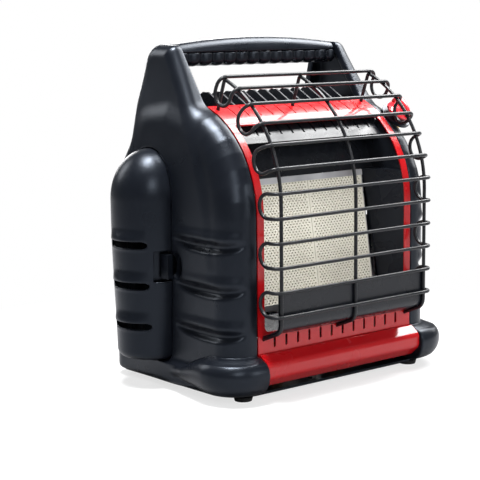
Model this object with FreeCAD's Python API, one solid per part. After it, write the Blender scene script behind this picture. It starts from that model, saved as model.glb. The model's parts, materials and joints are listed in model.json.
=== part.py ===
import FreeCAD, Part
import math
import os

V = FreeCAD.Vector

# Portable propane heater, in millimetres. X runs to the right seen from the front, Y to the
# back and Z up. The origin is on the floor, under the middle of the overall box.

# Overall size
OVERALL_W = 444.5
OVERALL_D = 279.4
OVERALL_H = 431.8
HALF_D = OVERALL_D / 2

# Main places that follow the overall size
COVER_R = 52.0
COVER_SINK = 1.75
COVER_X = OVERALL_W / 2 - COVER_R
COVER_FROM_BACK = 79.7
COVER_Y = HALF_D - COVER_FROM_BACK
GUARD_STANDOFF = 38.7

# Moulded body
WALL = 3.0
BODY_HALF_W = COVER_X + COVER_SINK
POST_INSET = 18.0
POST_HALF_W = BODY_HALF_W - POST_INSET
SHELL_DEPTH = 41.0
SHELL_INNER_X = BODY_HALF_W - SHELL_DEPTH
FRONT_CORNER_R = 48.0
REAR_CORNER_R = 24.0
BASE_Z = 5.0
BASE_T = 3.0
SHELL_Z = BASE_Z + BASE_T
PANEL_Y = -HALF_D + GUARD_STANDOFF
PANEL_BEND_R = 134.0
PANEL_BEND_DROP = 209.8
PANEL_BEND_Z = OVERALL_H - PANEL_BEND_DROP
PANEL_LEAN = 20.0
PANEL_DEPTH = 92.0
PANEL_END_Y = PANEL_Y + PANEL_DEPTH
SKIRT_OUT = 16.0
SKIRT_H = 41.0
SKIRT_BACK = 22.0
POST_TOP_FRONT = 16.0
POST_TOP_REAR = 28.0
POST_TOP_FRONT_Y = COVER_Y - POST_TOP_FRONT
POST_TOP_REAR_Y = COVER_Y + POST_TOP_REAR
POST_TOP_DROP = 6.8
POST_TOP_Z = OVERALL_H - POST_TOP_DROP
SHOULDER_DROP = 131.8
SHOULDER_Z = OVERALL_H - SHOULDER_DROP
SHOULDER_R = 140.0
REAR_SHOULDER_DROP = 169.8
REAR_SHOULDER_Z = OVERALL_H - REAR_SHOULDER_DROP
FIT = 0.3
END_GAP = 1.4

# Front panel
PANEL_T = 1.5
PANEL_FRAME_W = 10.5
OPENING_HALF_W = SHELL_INNER_X - PANEL_FRAME_W
OPENING_LOW_Z = 82.0
OPENING_TOP = 52.0
OPENING_TOP_Y = PANEL_Y + OPENING_TOP
SLOT_PITCH = 19.0
SLOT_MARGIN = 15.0
SLOT_COUNT = int(2 * (SHELL_INNER_X - SLOT_MARGIN) / SLOT_PITCH)
SLOT_W = 3.6
SLOT_LOW_Z = 62.0
SLOT_H = 14.0
LOUVRE_MARGIN = 5.0
LOUVRE_L = 22.0
LOUVRE_BACK_Y = PANEL_END_Y - LOUVRE_MARGIN
LOUVRE_FRONT_Y = LOUVRE_BACK_Y - LOUVRE_L

# Bumper
BUMPER_TOP_Z = 56.0
BUMPER_LOW_Z = 17.0
BUMPER_OUT = 18.0
BUMPER_FRONT_Y = PANEL_Y - BUMPER_OUT
BUMPER_WALL = 2.5

# Wire guard
WIRE_R = 2.2
GUARD_Y = -HALF_D + WIRE_R
GUARD_ARC_R = 158.0
GUARD_ARC_RISE = 16.0
GUARD_ARC_Z = PANEL_BEND_Z + GUARD_ARC_RISE
GUARD_PITCH = 29.35
GUARD_LOW_Z = 106.0
GUARD_RUN = GUARD_ARC_Z - GUARD_LOW_Z + math.radians(90 - PANEL_LEAN) * GUARD_ARC_R
GUARD_WIRES = (int(GUARD_RUN / GUARD_PITCH) + 1) // 2 * 2
UPRIGHT_X = OPENING_HALF_W + 1.5
HAIRPIN_OUT = 11.0
HAIRPIN_X = UPRIGHT_X + HAIRPIN_OUT
HAIRPIN_BEND_R = 11.0
HAIRPIN_RUN = 4.0
WELD = 0.3
GUARD_FOOT_Y = PANEL_Y + 5
GUARD_FOOT_Z = 67.7
GUARD_FOOT_R = 18.0
GUARD_FOOT_SLOPE = 0.4
GUARD_LEG_DROP = 89.8
GUARD_LEG_Z = OVERALL_H - GUARD_LEG_DROP
GUARD_LEG_SLOPE = 0.36
GUARD_TOP_RUN = 4.0
GUARD_TOP_R = 7.0

# Burner
TILE_MARGIN = 25.5
TILE_W = OPENING_HALF_W - TILE_MARGIN
TILE_TOP_RISE = 38.0
TILE_FOOT_Z = 100.0
TILE_H = PANEL_BEND_Z + TILE_TOP_RISE - TILE_FOOT_Z
TILE_T = 13.0
TILE_GAP = 0.8
TILE_LEAN = 9.0
TILE_RECESS = 30.5
TILE_FOOT_Y = PANEL_Y + TILE_RECESS
HOUSING_DEPTH = 48.0
SHEET_T = 1.2
CLIP_H = 6.0
REFLECTOR_T = 1.0
REFLECTOR_OUT = 4.0
UPPER_FOOT_BACK = 31.5
UPPER_HEAD_DROP = 19.0
LEG_T = 2.5
LEG_W = 36.0

PILOT_HALF_W = 24.0
PILOT_HALF_D = 6.0
PILOT_Y = TILE_FOOT_Y - 9.0
PILOT_DROP = 7.0
PILOT_R = 3.0

# Handle
HANDLE_HALF_D = 20.0
HANDLE_Y = COVER_Y
HANDLE_H = 35.8
HANDLE_UPPER_H = 18.8
HANDLE_CROWN = 7.8
HANDLE_LOW_Z = OVERALL_H - HANDLE_H
HANDLE_SPLIT_Z = OVERALL_H - HANDLE_UPPER_H
HANDLE_END_Z = OVERALL_H - HANDLE_CROWN
SCALLOP_PITCH = 19.6
SCALLOP_MARGIN = 3.0
SCALLOP_COUNT = int(2 * (SHELL_INNER_X - SCALLOP_MARGIN) / SCALLOP_PITCH)
SCALLOP_DEPTH = 3.5
SCALLOP_R = 13.0

# Top grille
FIN_PITCH = 18.8
FIN_T = 2.6
RAIL_W = 4.0
GRILLE_HALF_W = OPENING_HALF_W + RAIL_W
FIN_COUNT = int(2 * (GRILLE_HALF_W - FIN_T) / FIN_PITCH)
GRILLE_BACK_Y = HANDLE_Y + 2
GRILLE_BACK_DROP = 89.8
GRILLE_BACK_Z = OVERALL_H - GRILLE_BACK_DROP
FIN_TOP_DROP = 66.8
FIN_TOP_Z = OVERALL_H - FIN_TOP_DROP
FIN_TOP_FORWARD = 34.0
FIN_TOP_Y = HANDLE_Y - FIN_TOP_FORWARD

# Cylinder bays and their covers
COVER_WALL = 2.5
COVER_LOW_Z = 36.0
COVER_SPRING_DROP = 196.8
COVER_SPRING_Z = OVERALL_H - COVER_SPRING_DROP
COVER_DOME_H = 62.0
COVER_LIP = 1.5
COVER_SEAM = 0.6
VENT_COUNT = 3
VENT_PITCH = 51.0
VENT_LOW_Z = 76.0
VENT_H = 8.0
VENT_HALF_W = 30.0
HINGE_OUT = 4.0
HINGE_BACK = 3.5
HINGE_PIN_R = 1.5
HINGE_BARREL_R = 3.1
HINGE_RUNNING = 0.06
KNUCKLE_H = 10.0
HINGE_LOW_Z = 70.0
HINGE_HIGH_DROP = 45.0
HINGE_HIGH_Z = COVER_SPRING_Z - HINGE_HIGH_DROP
LATCH_DROP = 80.0
LATCH_Z = COVER_SPRING_Z - LATCH_DROP
LATCH_H = 30.0
LATCH_W = 9.0

# Regulators
REG_INSET = 32.0
REG_X = BODY_HALF_W - REG_INSET
REG_STANDOFF = 46.5
REG_PIVOT_Y = TILE_FOOT_Y + HOUSING_DEPTH + REG_STANDOFF
REG_BODY_R = 20.0
REG_RISE = 11.0
REG_BODY_LOW = COVER_SPRING_Z + REG_RISE
REG_BODY_H = 20.0
INLET_R = 12.7
INLET_WALL = 3.3
INLET_DEPTH = 12.0
REG_PIVOT_R = 7.0
REG_EYE_WALL = 3.0
REG_ARM_W = 12.0

# Gas line
TUBE_R = 3.5
MANIFOLD_Y = REG_PIVOT_Y
MANIFOLD_DROP = 12.0
MANIFOLD_Z = REG_BODY_LOW - MANIFOLD_DROP
FEED_INSET = 3.0
FEED_X = SHELL_INNER_X - FEED_INSET
FEED_START = 13.0
INLET_TUBE_INSET = 12.0
INLET_TUBE_X = SHELL_INNER_X - INLET_TUBE_INSET
FEED_DROP = 30.0
FEED_SWEEP = 60.0
RAIL_BACK = 32.5
RAIL_Y = TILE_FOOT_Y + RAIL_BACK
RAIL_OVERHANG = 12.0
RAIL_Z = 36.0
RAIL_R = 5.0
VENTURI_R = 9.0
VENTURI_LOW_Z = 52.0
ORIFICE_R = 2.5

# Control
KNOB_X = POST_HALF_W
KNOB_BACK = 49.0
KNOB_Y = PANEL_Y + KNOB_BACK
KNOB_R = 18.0
KNOB_H = 8.0
KNOB_GRIP_H = 14.0
KNOB_GRIP_W = 7.0
SPINDLE_R = 4.0
VALVE_R = 12.0
VALVE_H = 30.0
BEZEL_R = 21.0
BEZEL_H = 3.0
PRESS = 4.0

# Fan and power
FAN_R = 36.0
FAN_W = 12.0
FAN_FROM_BACK = 29.7
FAN_Y = HALF_D - FAN_FROM_BACK
FAN_BLADES = 7
MOTOR_R = 13.0
MOTOR_L = 24.0
SHAFT_R = 1.5
PLUG_INSET = 33.0
PLUG_SPACE = 30.0
HOSE_X = SHELL_INNER_X - PLUG_INSET
BATTERY_HALF_W = HOSE_X - PLUG_SPACE
BATTERY_LOW_Z = 22.0
BATTERY_H = 74.0
FAN_SPACE = 33.0
FAN_Z = BATTERY_LOW_Z + BATTERY_H + FAN_SPACE + FAN_R
BATTERY_DEPTH = 38.0
BATTERY_WALL = 2.0
DOOR_T = 2.5
ROCKER_INSET = 35.0
ROCKER_X = -SHELL_INNER_X + ROCKER_INSET
ROCKER_DROP = 26.0
ROCKER_Z = REAR_SHOULDER_Z - ROCKER_DROP
JACK_X = -HOSE_X
JACK_Z = 60.0
JACK_L = 13.0
HOSE_Z = 60.0
HOSE_R = 7.0
HOSE_CUP_R = 17.0
HOSE_CUP_D = 22.0
HOSE_RECESS_R = 14.5
HOSE_RECESS_D = 20.0

# Feet and screws
FOOT_R = 12.0
FOOT_X = BODY_HALF_W - 29
FOOT_FRONT_Y = PANEL_Y + 14.4
FOOT_REAR_Y = HALF_D - 25.7
SCREW_HEAD_R = 3.6
SCREW_R = 1.6
SCREW_X = SHELL_INNER_X - 10
SCREW_ZS = (40.0, 110.0, 180.0, REAR_SHOULDER_Z - 22)


def place(axis, at, u, v):
    """A point given by two coordinates on the plane that is square to an axis."""
    if axis == "x":
        return V(at, u, v)
    if axis == "y":
        return V(u, at, v)
    return V(u, v, at)


def corner(before, here, after, radius):
    """The two tangent points and the middle of the arc that rounds a corner."""
    a = (before - here).normalize()
    b = (after - here).normalize()
    half = a.getAngle(b) / 2
    reach = radius / math.tan(half)
    middle = (a + b).normalize()
    centre = here + middle * (radius / math.sin(half))
    return here + a * reach, centre - middle * radius, here + b * reach


def rounded_edges(points, radii, closed):
    """Straight edges joined by tangent arcs."""
    count = len(points)
    stops = []
    for i in range(count):
        inner = closed or 0 < i < count - 1
        if inner and radii[i] > 0:
            stops.append(corner(points[i - 1], points[i], points[(i + 1) % count], radii[i]))
        else:
            stops.append((points[i], None, points[i]))
    edges = []
    for i in range(count):
        start, middle, end = stops[i]
        if middle is not None:
            edges.append(Part.Arc(start, middle, end).toShape())
        if i < count - 1 or closed:
            following = stops[(i + 1) % count][0]
            if end.distanceToPoint(following) > 1e-6:
                edges.append(Part.LineSegment(end, following).toShape())
    return edges


def prism(axis, low, high, profile):
    """A solid between two planes whose outline has points of two coordinates and a radius."""
    points = [place(axis, low, p[0], p[1]) for p in profile]
    radii = [p[2] if len(p) > 2 else 0 for p in profile]
    face = Part.Face(Part.Wire(rounded_edges(points, radii, True)))
    return face.extrude(place(axis, high - low, 0, 0))


def box(x0, x1, y0, y1, z0, z1):
    return Part.makeBox(x1 - x0, y1 - y0, z1 - z0, V(x0, y0, z0))


def rod(start, end, radius):
    along = end - start
    return Part.makeCylinder(radius, along.Length, start, along)


def offset(profile, distance):
    """An open outline moved sideways, to its left as it runs, with its radii kept concentric."""
    moved = []
    count = len(profile)
    for i in range(count):
        u, v, r = profile[i]
        normals = []
        if i > 0:
            du, dv = u - profile[i - 1][0], v - profile[i - 1][1]
            normals.append((-dv / math.hypot(du, dv), du / math.hypot(du, dv)))
        if i < count - 1:
            du, dv = profile[i + 1][0] - u, profile[i + 1][1] - v
            normals.append((-dv / math.hypot(du, dv), du / math.hypot(du, dv)))
        nu = sum(n[0] for n in normals) / len(normals)
        nv = sum(n[1] for n in normals) / len(normals)
        square = nu * nu + nv * nv
        turn = 0.0
        if len(normals) == 2:
            turn = normals[0][0] * normals[1][1] - normals[0][1] * normals[1][0]
        radius = r - math.copysign(distance, turn) if r > 0 else 0
        if turn < 0:
            radius = r + distance if r > 0 else 0
        moved.append((u + nu / square * distance, v + nv / square * distance, radius))
    return moved


def strip(axis, low, high, profile, thickness):
    """Sheet of one thickness, to the left of an open outline."""
    other = offset(profile, thickness)
    return prism(axis, low, high, profile + other[::-1])


def tube(points, radii, radius):
    """Round wire or tube along straight runs and tangent arcs."""
    edges = rounded_edges(points, radii, False)
    start = points[0]
    along = points[1] - points[0]
    section = Part.Wire(Part.Circle(start, along, radius).toShape())
    return Part.Wire(edges).makePipeShell([section], True, False)


def mirrored(shape):
    return shape.mirror(V(0, 0, 0), V(1, 0, 0))


def panel_profile(inset):
    """The front face from the bumper up and back over the top, moved inward."""
    slope = math.tan(math.radians(PANEL_LEAN))
    bend_reach = PANEL_BEND_R * math.tan(math.radians(90 - PANEL_LEAN) / 2)
    bend_z = PANEL_BEND_Z + bend_reach
    end_z = bend_z + (PANEL_END_Y - PANEL_Y) * slope
    outer = [(PANEL_Y, BUMPER_TOP_Z + FIT, 0), (PANEL_Y, bend_z, PANEL_BEND_R),
             (PANEL_END_Y, end_z, 0)]
    return offset(outer, -inset)


PANEL_TOP_Z = panel_profile(0)[2][1]


def panel_point(y):
    """Height of the front face's outside where it curves back."""
    centre_y = PANEL_Y + PANEL_BEND_R
    return PANEL_BEND_Z + math.sqrt(PANEL_BEND_R ** 2 - (centre_y - y) ** 2)


def shell_form(inset):
    """Left half of the moulded body, as side, plan and front outlines that meet."""
    low = SHELL_Z - 1 if inset else SHELL_Z
    inner = -SHELL_INNER_X + (60 if inset else 0)
    bend_z = panel_profile(0)[1][1]
    front = PANEL_Y + inset
    back = HALF_D - inset
    side = prism("x", -BODY_HALF_W - 20, inner, [
        (front, low, 0),
        (front, bend_z - inset * 0.5, PANEL_BEND_R - inset),
        (PANEL_END_Y + 6, PANEL_TOP_Z + 2 - inset, 18),
        (POST_TOP_FRONT_Y + inset, POST_TOP_Z - inset, 12),
        (POST_TOP_REAR_Y - inset, POST_TOP_Z - inset, 20),
        (POST_TOP_REAR_Y + 19 - inset, SHOULDER_Z + 20, 60),
        (back, REAR_SHOULDER_Z - inset, 30),
        (back, low, 0)])
    half_w = BODY_HALF_W - inset
    plan = prism("z", low, POST_TOP_Z + 10, [
        (0, front), (-half_w, front, FRONT_CORNER_R - inset),
        (-half_w, back, REAR_CORNER_R - inset), (0, back)])
    view = prism("y", PANEL_Y - 20, HALF_D + 20, [
        (inner, low), (-half_w, low), (-half_w, SHOULDER_Z + 20, SHOULDER_R),
        (-POST_HALF_W + inset, POST_TOP_Z - inset, 16), (inner, POST_TOP_Z - inset)])
    return side.common(plan).common(view)


def cover_form(grow, inner_x):
    """Bullet form of a cylinder cover, standing out to the left."""
    radius = COVER_R + grow
    low = COVER_LOW_Z - grow
    trunk = Part.makeCylinder(radius, COVER_SPRING_Z - low, V(-COVER_X, COVER_Y, low))
    dome = Part.makeSphere(radius, V(0, 0, 0), V(0, 0, 1), 0, 90, 360)
    squash = FreeCAD.Matrix()
    squash.scale(1, 1, (COVER_DOME_H + grow) / radius)
    dome = dome.transformGeometry(squash)
    dome.translate(V(-COVER_X, COVER_Y, COVER_SPRING_Z))
    keep = box(-COVER_X - radius - 5, inner_x, COVER_Y - radius - 5, COVER_Y + radius + 5,
               low - 5, COVER_SPRING_Z + COVER_DOME_H + 20)
    return trunk.fuse(dome).removeSplitter().common(keep)


SEAM_X = -BODY_HALF_W - COVER_LIP
HINGE_X = -BODY_HALF_W - HINGE_OUT
HINGE_Y = COVER_Y + COVER_R + HINGE_BACK
HINGE_STACKS = (HINGE_LOW_Z, HINGE_HIGH_Z)


def knuckle(low, height, web_to_y, web_to_x):
    barrel = Part.makeCylinder(HINGE_BARREL_R, height, V(HINGE_X, HINGE_Y, low))
    web = box(min(HINGE_X, web_to_x), max(HINGE_X, web_to_x),
              min(HINGE_Y, web_to_y), max(HINGE_Y, web_to_y), low, low + height)
    return barrel.fuse(web)


def skirt():
    """Swollen foot of a side, which runs on under the cover."""
    out = BODY_HALF_W + SKIRT_OUT
    back = COVER_Y + SKIRT_BACK
    top = SHELL_Z + SKIRT_H
    plan = prism("z", SHELL_Z, top, [
        (-SHELL_INNER_X, PANEL_Y - SKIRT_OUT), (-out, PANEL_Y - SKIRT_OUT, FRONT_CORNER_R + SKIRT_OUT / 2),
        (-out, COVER_Y - COVER_R / 2, 90), (-BODY_HALF_W + 4, back, 6), (-SHELL_INNER_X, back)])
    section = prism("y", PANEL_Y - 2 * SKIRT_OUT, back + 5, [
        (-SHELL_INNER_X, SHELL_Z), (-BODY_HALF_W, SHELL_Z), (-out, SHELL_Z + SKIRT_H * 0.5, 14),
        (-BODY_HALF_W, top, 4), (-SHELL_INNER_X, top)])
    under = box(-out - 5, 0, COVER_Y - COVER_R - 2, back + 5, COVER_LOW_Z - 1, top + 5)
    return plan.common(section).cut(under)


def side_shell():
    shell = shell_form(0)
    shell = shell.fuse(skirt()).removeSplitter().cut(shell_form(WALL))
    shell = shell.cut(cover_form(COVER_SEAM, -COVER_X + 12))
    for z in SCREW_ZS:
        tab = box(-SHELL_INNER_X - WALL, -SCREW_X + 6, HALF_D - WALL - FIT - 9,
                  HALF_D - WALL - FIT, z - 7, z + 7)
        tab = tab.fuse(box(-SHELL_INNER_X - WALL - 6, -SHELL_INNER_X - FIT, HALF_D - WALL - 9,
                           HALF_D - WALL, z - 7, z + 7))
        shell = shell.fuse(tab)
        shell = shell.cut(rod(V(-SCREW_X, HALF_D, z), V(-SCREW_X, HALF_D - 30, z), SCREW_R))
    for z in HINGE_STACKS:
        for low in (z, z + 2 * KNUCKLE_H + 2 * FIT):
            shell = shell.fuse(knuckle(low, KNUCKLE_H, HINGE_Y + 3, -BODY_HALF_W + 1))
        shell = shell.cut(rod(V(HINGE_X, HINGE_Y, z - 5),
                              V(HINGE_X, HINGE_Y, z + 3 * KNUCKLE_H + 5), HINGE_PIN_R))
    return shell.removeSplitter()


def hinge_pins():
    pins = []
    for z in HINGE_STACKS:
        top = z + 3 * KNUCKLE_H + 2 * FIT
        pins.append(rod(V(HINGE_X, HINGE_Y, z), V(HINGE_X, HINGE_Y, top), HINGE_PIN_R))
    return Part.makeCompound(pins)


def latch_space(grow):
    """Where the latch plate lies in the front edge of a cover."""
    front_y = COVER_Y - math.sqrt(COVER_R ** 2 - (SEAM_X + COVER_X) ** 2)
    return box(SEAM_X - LATCH_W - grow, SEAM_X - 1.5 + grow, front_y - 1 - grow,
               front_y + 14 + grow + (2.5 if grow else 0),
               LATCH_Z - LATCH_H / 2 - grow, LATCH_Z + LATCH_H / 2 + grow)


def tank_cover():
    cover = cover_form(0, SEAM_X).cut(cover_form(-COVER_WALL, SEAM_X + 5))
    for i in range(VENT_COUNT):
        z = VENT_LOW_Z + i * VENT_PITCH
        slot = box(-COVER_X - COVER_R - 5, -COVER_X - COVER_R * 0.4, COVER_Y - VENT_HALF_W,
                   COVER_Y + VENT_HALF_W, z, z + VENT_H)
        cover = cover.cut(slot)
    pocket = latch_space(FIT)
    walls = latch_space(FIT + 1.5).common(cover_form(-0.5, SEAM_X))
    cover = cover.fuse(walls).cut(pocket)
    for z in HINGE_STACKS:
        low = z + KNUCKLE_H + FIT
        arm = knuckle(low, KNUCKLE_H, HINGE_Y - 7, SEAM_X)
        cover = cover.fuse(arm)
        cover = cover.cut(rod(V(HINGE_X, HINGE_Y, z - 5),
                              V(HINGE_X, HINGE_Y, z + 3 * KNUCKLE_H + 5),
                              HINGE_PIN_R + HINGE_RUNNING))
    return cover.removeSplitter()


def cover_latch():
    return latch_space(0)


def regulator():
    x, y = -COVER_X, COVER_Y
    low = REG_BODY_LOW
    body = Part.makeCylinder(REG_BODY_R, REG_BODY_H, V(x, y, low))
    socket = Part.makeCylinder(INLET_R + INLET_WALL, INLET_DEPTH, V(x, y, low - INLET_DEPTH + 2))
    pivot = V(-REG_X, REG_PIVOT_Y, low)
    eye = Part.makeCylinder(REG_PIVOT_R + REG_EYE_WALL, REG_BODY_H - 6, pivot + V(0, 0, 3))
    toward = (V(x, y, low) - pivot)
    side = V(-toward.y, toward.x, 0).normalize() * (REG_ARM_W / 2)
    corners = [pivot + side, pivot - side, pivot + toward - side, pivot + toward + side]
    arm = prism("z", low + 3, low + REG_BODY_H - 3, [(c.x, c.y) for c in corners])
    shape = body.fuse(socket).fuse(eye).fuse(arm)
    shape = shape.cut(Part.makeCylinder(INLET_R, INLET_DEPTH, V(x, y, low - INLET_DEPTH + 2)))
    hole = Part.makeCylinder(REG_PIVOT_R + HINGE_RUNNING, REG_BODY_H + 4, pivot - V(0, 0, 2))
    return shape.cut(hole).removeSplitter()


def regulator_pivot():
    """Fixed hollow post that feeds gas from the swivelling regulator to the line."""
    low = MANIFOLD_Z - 9
    top = REG_BODY_LOW + REG_BODY_H - 1
    post = Part.makeCylinder(REG_PIVOT_R, top - low, V(-REG_X, REG_PIVOT_Y, low))
    collar = Part.makeCylinder(REG_PIVOT_R + 2, REG_BODY_LOW + 2.7 - low,
                               V(-REG_X, REG_PIVOT_Y, low))
    post = post.fuse(collar)
    return post.cut(rod(V(-REG_X, MANIFOLD_Y, MANIFOLD_Z), V(-REG_X + 20, MANIFOLD_Y, MANIFOLD_Z),
                        TUBE_R))


def inside_panel(gap):
    """The space behind the front face, up to the outlet grille."""
    face = panel_profile(PANEL_T + gap)
    back = GRILLE_BACK_Y
    half = SHELL_INNER_X + 2
    return prism("x", -half, half, face + [(back, face[2][1]), (back, face[0][1] - 60),
                                           (face[0][0], face[0][1] - 60)])


def front_panel():
    half = SHELL_INNER_X - FIT
    sheet = strip("x", -half, half, panel_profile(0), -PANEL_T)
    low_z = OPENING_LOW_Z
    hole = prism("y", PANEL_Y - 10, OPENING_TOP_Y, [
        (-OPENING_HALF_W, low_z, 8), (OPENING_HALF_W, low_z, 8),
        (OPENING_HALF_W, panel_point(OPENING_TOP_Y) + 8), (-OPENING_HALF_W, panel_point(OPENING_TOP_Y) + 8)])
    sheet = sheet.cut(hole)
    for i in range(SLOT_COUNT):
        x = (i - (SLOT_COUNT - 1) / 2) * SLOT_PITCH
        left, right = x - SLOT_W / 2, x + SLOT_W / 2
        top = SLOT_LOW_Z + SLOT_H
        end_r = SLOT_W * 0.45
        low = prism("y", PANEL_Y - 5, PANEL_Y + 5, [
            (left, SLOT_LOW_Z, end_r), (right, SLOT_LOW_Z, end_r), (right, top, end_r),
            (left, top, end_r)])
        louvre = box(x - SLOT_W / 4, x + SLOT_W / 4, LOUVRE_FRONT_Y, LOUVRE_BACK_Y,
                     panel_point(LOUVRE_FRONT_Y) - 15, PANEL_TOP_Z + 10)
        sheet = sheet.cut(low).cut(louvre)
    for x in (-UPRIGHT_X, 0, UPRIGHT_X):
        sheet = sheet.cut(guard_upright(x, WIRE_R + FIT))
    return sheet


def bumper():
    outer = [(PANEL_Y + 3, BUMPER_TOP_Z), (PANEL_Y - 4, BUMPER_TOP_Z, 3),
             (BUMPER_FRONT_Y, BUMPER_TOP_Z - 10, 9), (BUMPER_FRONT_Y, BUMPER_LOW_Z + 13, 9),
             (PANEL_Y - 4, BUMPER_LOW_Z, 4), (PANEL_Y + 3, BUMPER_LOW_Z)]
    w = BUMPER_WALL
    inner = [(PANEL_Y + 4, BUMPER_TOP_Z - w), (PANEL_Y - 3, BUMPER_TOP_Z - w, 2),
             (BUMPER_FRONT_Y + w, BUMPER_TOP_Z - 11, 7), (BUMPER_FRONT_Y + w, BUMPER_LOW_Z + 14, 7),
             (PANEL_Y - 3, BUMPER_LOW_Z + w, 2), (PANEL_Y + 4, BUMPER_LOW_Z + w)]
    half = SHELL_INNER_X - FIT
    return prism("x", -half, half, outer).cut(prism("x", -half + w, half - w, inner))


def guard_profile(inset):
    """Side outline of the guard from its foot in the panel to its leg in the top."""
    reach = GUARD_ARC_R * math.tan(math.radians(90 - PANEL_LEAN) / 2)
    bend = (GUARD_Y, GUARD_ARC_Z + reach, GUARD_ARC_R)
    slope = math.radians(PANEL_LEAN)
    run = reach + GUARD_TOP_RUN
    top = (GUARD_Y + run * math.cos(slope), bend[1] + run * math.sin(slope), GUARD_TOP_R)
    leg = (top[0] + (top[1] - GUARD_LEG_Z) * GUARD_LEG_SLOPE, GUARD_LEG_Z, 0)
    foot = (GUARD_FOOT_Y, GUARD_FOOT_Z, 0)
    rise = (GUARD_FOOT_Y - GUARD_Y) * GUARD_FOOT_SLOPE
    heel = (GUARD_Y, GUARD_FOOT_Z + rise, GUARD_FOOT_R)
    line = [foot, heel, bend, top, leg]
    return offset(line, -inset)


def guard_upright(x, radius):
    line = guard_profile(2 * WIRE_R - WELD)
    points = [V(x, p[0], p[1]) for p in line]
    return tube(points, [p[2] for p in line], radius)


def guard_place(index):
    """Place and heading of one wire, counted from the lowest, on the guard's side outline."""
    along = index * GUARD_PITCH
    straight = GUARD_ARC_Z - GUARD_LOW_Z
    if along <= straight:
        return V(0, GUARD_Y, GUARD_LOW_Z + along), V(0, 0, 1)
    turn = (along - straight) / GUARD_ARC_R
    centre = V(0, GUARD_Y + GUARD_ARC_R, GUARD_ARC_Z)
    spot = centre + V(0, -math.cos(turn), math.sin(turn)) * GUARD_ARC_R
    return spot, V(0, math.sin(turn), math.cos(turn))


def guard_loop(index):
    """Two wires joined at each end by a hairpin that turns back to the panel."""
    low = guard_place(index)[0]
    high = guard_place(index + 1)[0]
    up = (high - low)
    half = up.Length / 2
    up = up.normalize()
    inward = V(0, up.z, -up.y)
    depth = HAIRPIN_BEND_R + HAIRPIN_RUN + half
    halves = []
    for side in (-1, 1):
        out = V(side * HAIRPIN_X, 0, 0)
        points = [low, low + out, low + out + inward * depth, high + out + inward * depth,
                  high + out, high]
        radii = [0, HAIRPIN_BEND_R, half - 0.01, half - 0.01, HAIRPIN_BEND_R, 0]
        halves.append(tube(points, radii, WIRE_R))
    return halves[0].fuse(halves[1]).removeSplitter()


def guard_loops():
    return Part.makeCompound([guard_loop(i) for i in range(0, GUARD_WIRES, 2)])


def guard_uprights():
    return Part.makeCompound([guard_upright(x, WIRE_R) for x in (-UPRIGHT_X, 0, UPRIGHT_X)])


def deflector_plate():
    gap = 2 * WIRE_R - WELD + WIRE_R + 0.05
    line = guard_profile(gap)
    foot, heel = line[0], line[1]
    share = 0.78
    start = (heel[0] + (foot[0] - heel[0]) * share, heel[1] + (foot[1] - heel[1]) * share, 0)
    top = (heel[0], GUARD_LOW_Z + GUARD_PITCH, 0)
    half = UPRIGHT_X + WIRE_R
    return strip("x", -half, half, [start, heel, top], -SHEET_T)


def burner_set(shape):
    """Leans a piece drawn upright and moves it to the burner's place."""
    shape.rotate(V(0, 0, 0), V(1, 0, 0), -TILE_LEAN)
    shape.translate(V(0, TILE_FOOT_Y, TILE_FOOT_Z))
    return shape


def tile(side):
    near, far = TILE_GAP / 2, TILE_W
    x0, x1 = (near, far) if side > 0 else (-far, -near)
    return burner_set(box(x0, x1, 0, TILE_T, 0, TILE_H))


HOUSING_HALF = TILE_W + SHEET_T + FIT


def housing_block(grow):
    half = HOUSING_HALF + grow
    edge = SHEET_T + FIT + grow
    return burner_set(box(-half, half, -grow, HOUSING_DEPTH + grow, -edge, TILE_H + edge))


def burner_housing():
    half = HOUSING_HALF
    edge = SHEET_T + FIT
    body = box(-half, half, 0, HOUSING_DEPTH, -edge, TILE_H + edge)
    body = body.cut(box(-half + SHEET_T, half - SHEET_T, -1, HOUSING_DEPTH - SHEET_T,
                        -FIT, TILE_H + FIT))
    ledge = box(-half, half, TILE_T + FIT, TILE_T + FIT + SHEET_T, -edge, TILE_H + edge)
    ledge = ledge.cut(box(-TILE_W + 8, TILE_W - 8, 0, TILE_T + 10, 8, TILE_H - 8))
    body = burner_set(body.fuse(ledge).removeSplitter())
    for x in (-TILE_W / 2, TILE_W / 2):
        body = body.cut(rod(V(x, RAIL_Y, TILE_FOOT_Z - 20), V(x, RAIL_Y, TILE_FOOT_Z + 18),
                            VENTURI_R + FIT / 2))
    return body


def tile_clips():
    half = HOUSING_HALF
    low = box(-half, half, -SHEET_T - 0.05, -0.05, -SHEET_T, CLIP_H)
    high = box(-half, half, -SHEET_T - 0.05, -0.05, TILE_H - CLIP_H, TILE_H + SHEET_T)
    return Part.makeCompound([burner_set(low), burner_set(high)])


def upper_reflector():
    """Back sheet above the tiles, with a cheek and a shelf at each end."""
    t = REFLECTOR_T
    out = OPENING_HALF_W + REFLECTOR_OUT
    near = HOUSING_HALF + 1.5
    top = TILE_FOOT_Z + TILE_H
    foot = (TILE_FOOT_Y + UPPER_FOOT_BACK, top - 2)
    head = (PANEL_END_Y + 1, PANEL_TOP_Z - UPPER_HEAD_DROP)
    back = strip("x", -out, out, [foot + (0,), head + (0,)], t)
    front = PANEL_Y + PANEL_T + FIT
    cheek = prism("x", -out, -out + t, [(front, top - t), foot, head, (front, head[1])])
    shelf = prism("z", top - t, top, [
        (-out, front), (-out + t, front), (-near + t, foot[0] - t), (-near + t, foot[0]),
        (-out, foot[0])])
    end = cheek.fuse(shelf).common(inside_panel(FIT))
    return back.fuse(end).fuse(mirrored(end))


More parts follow.
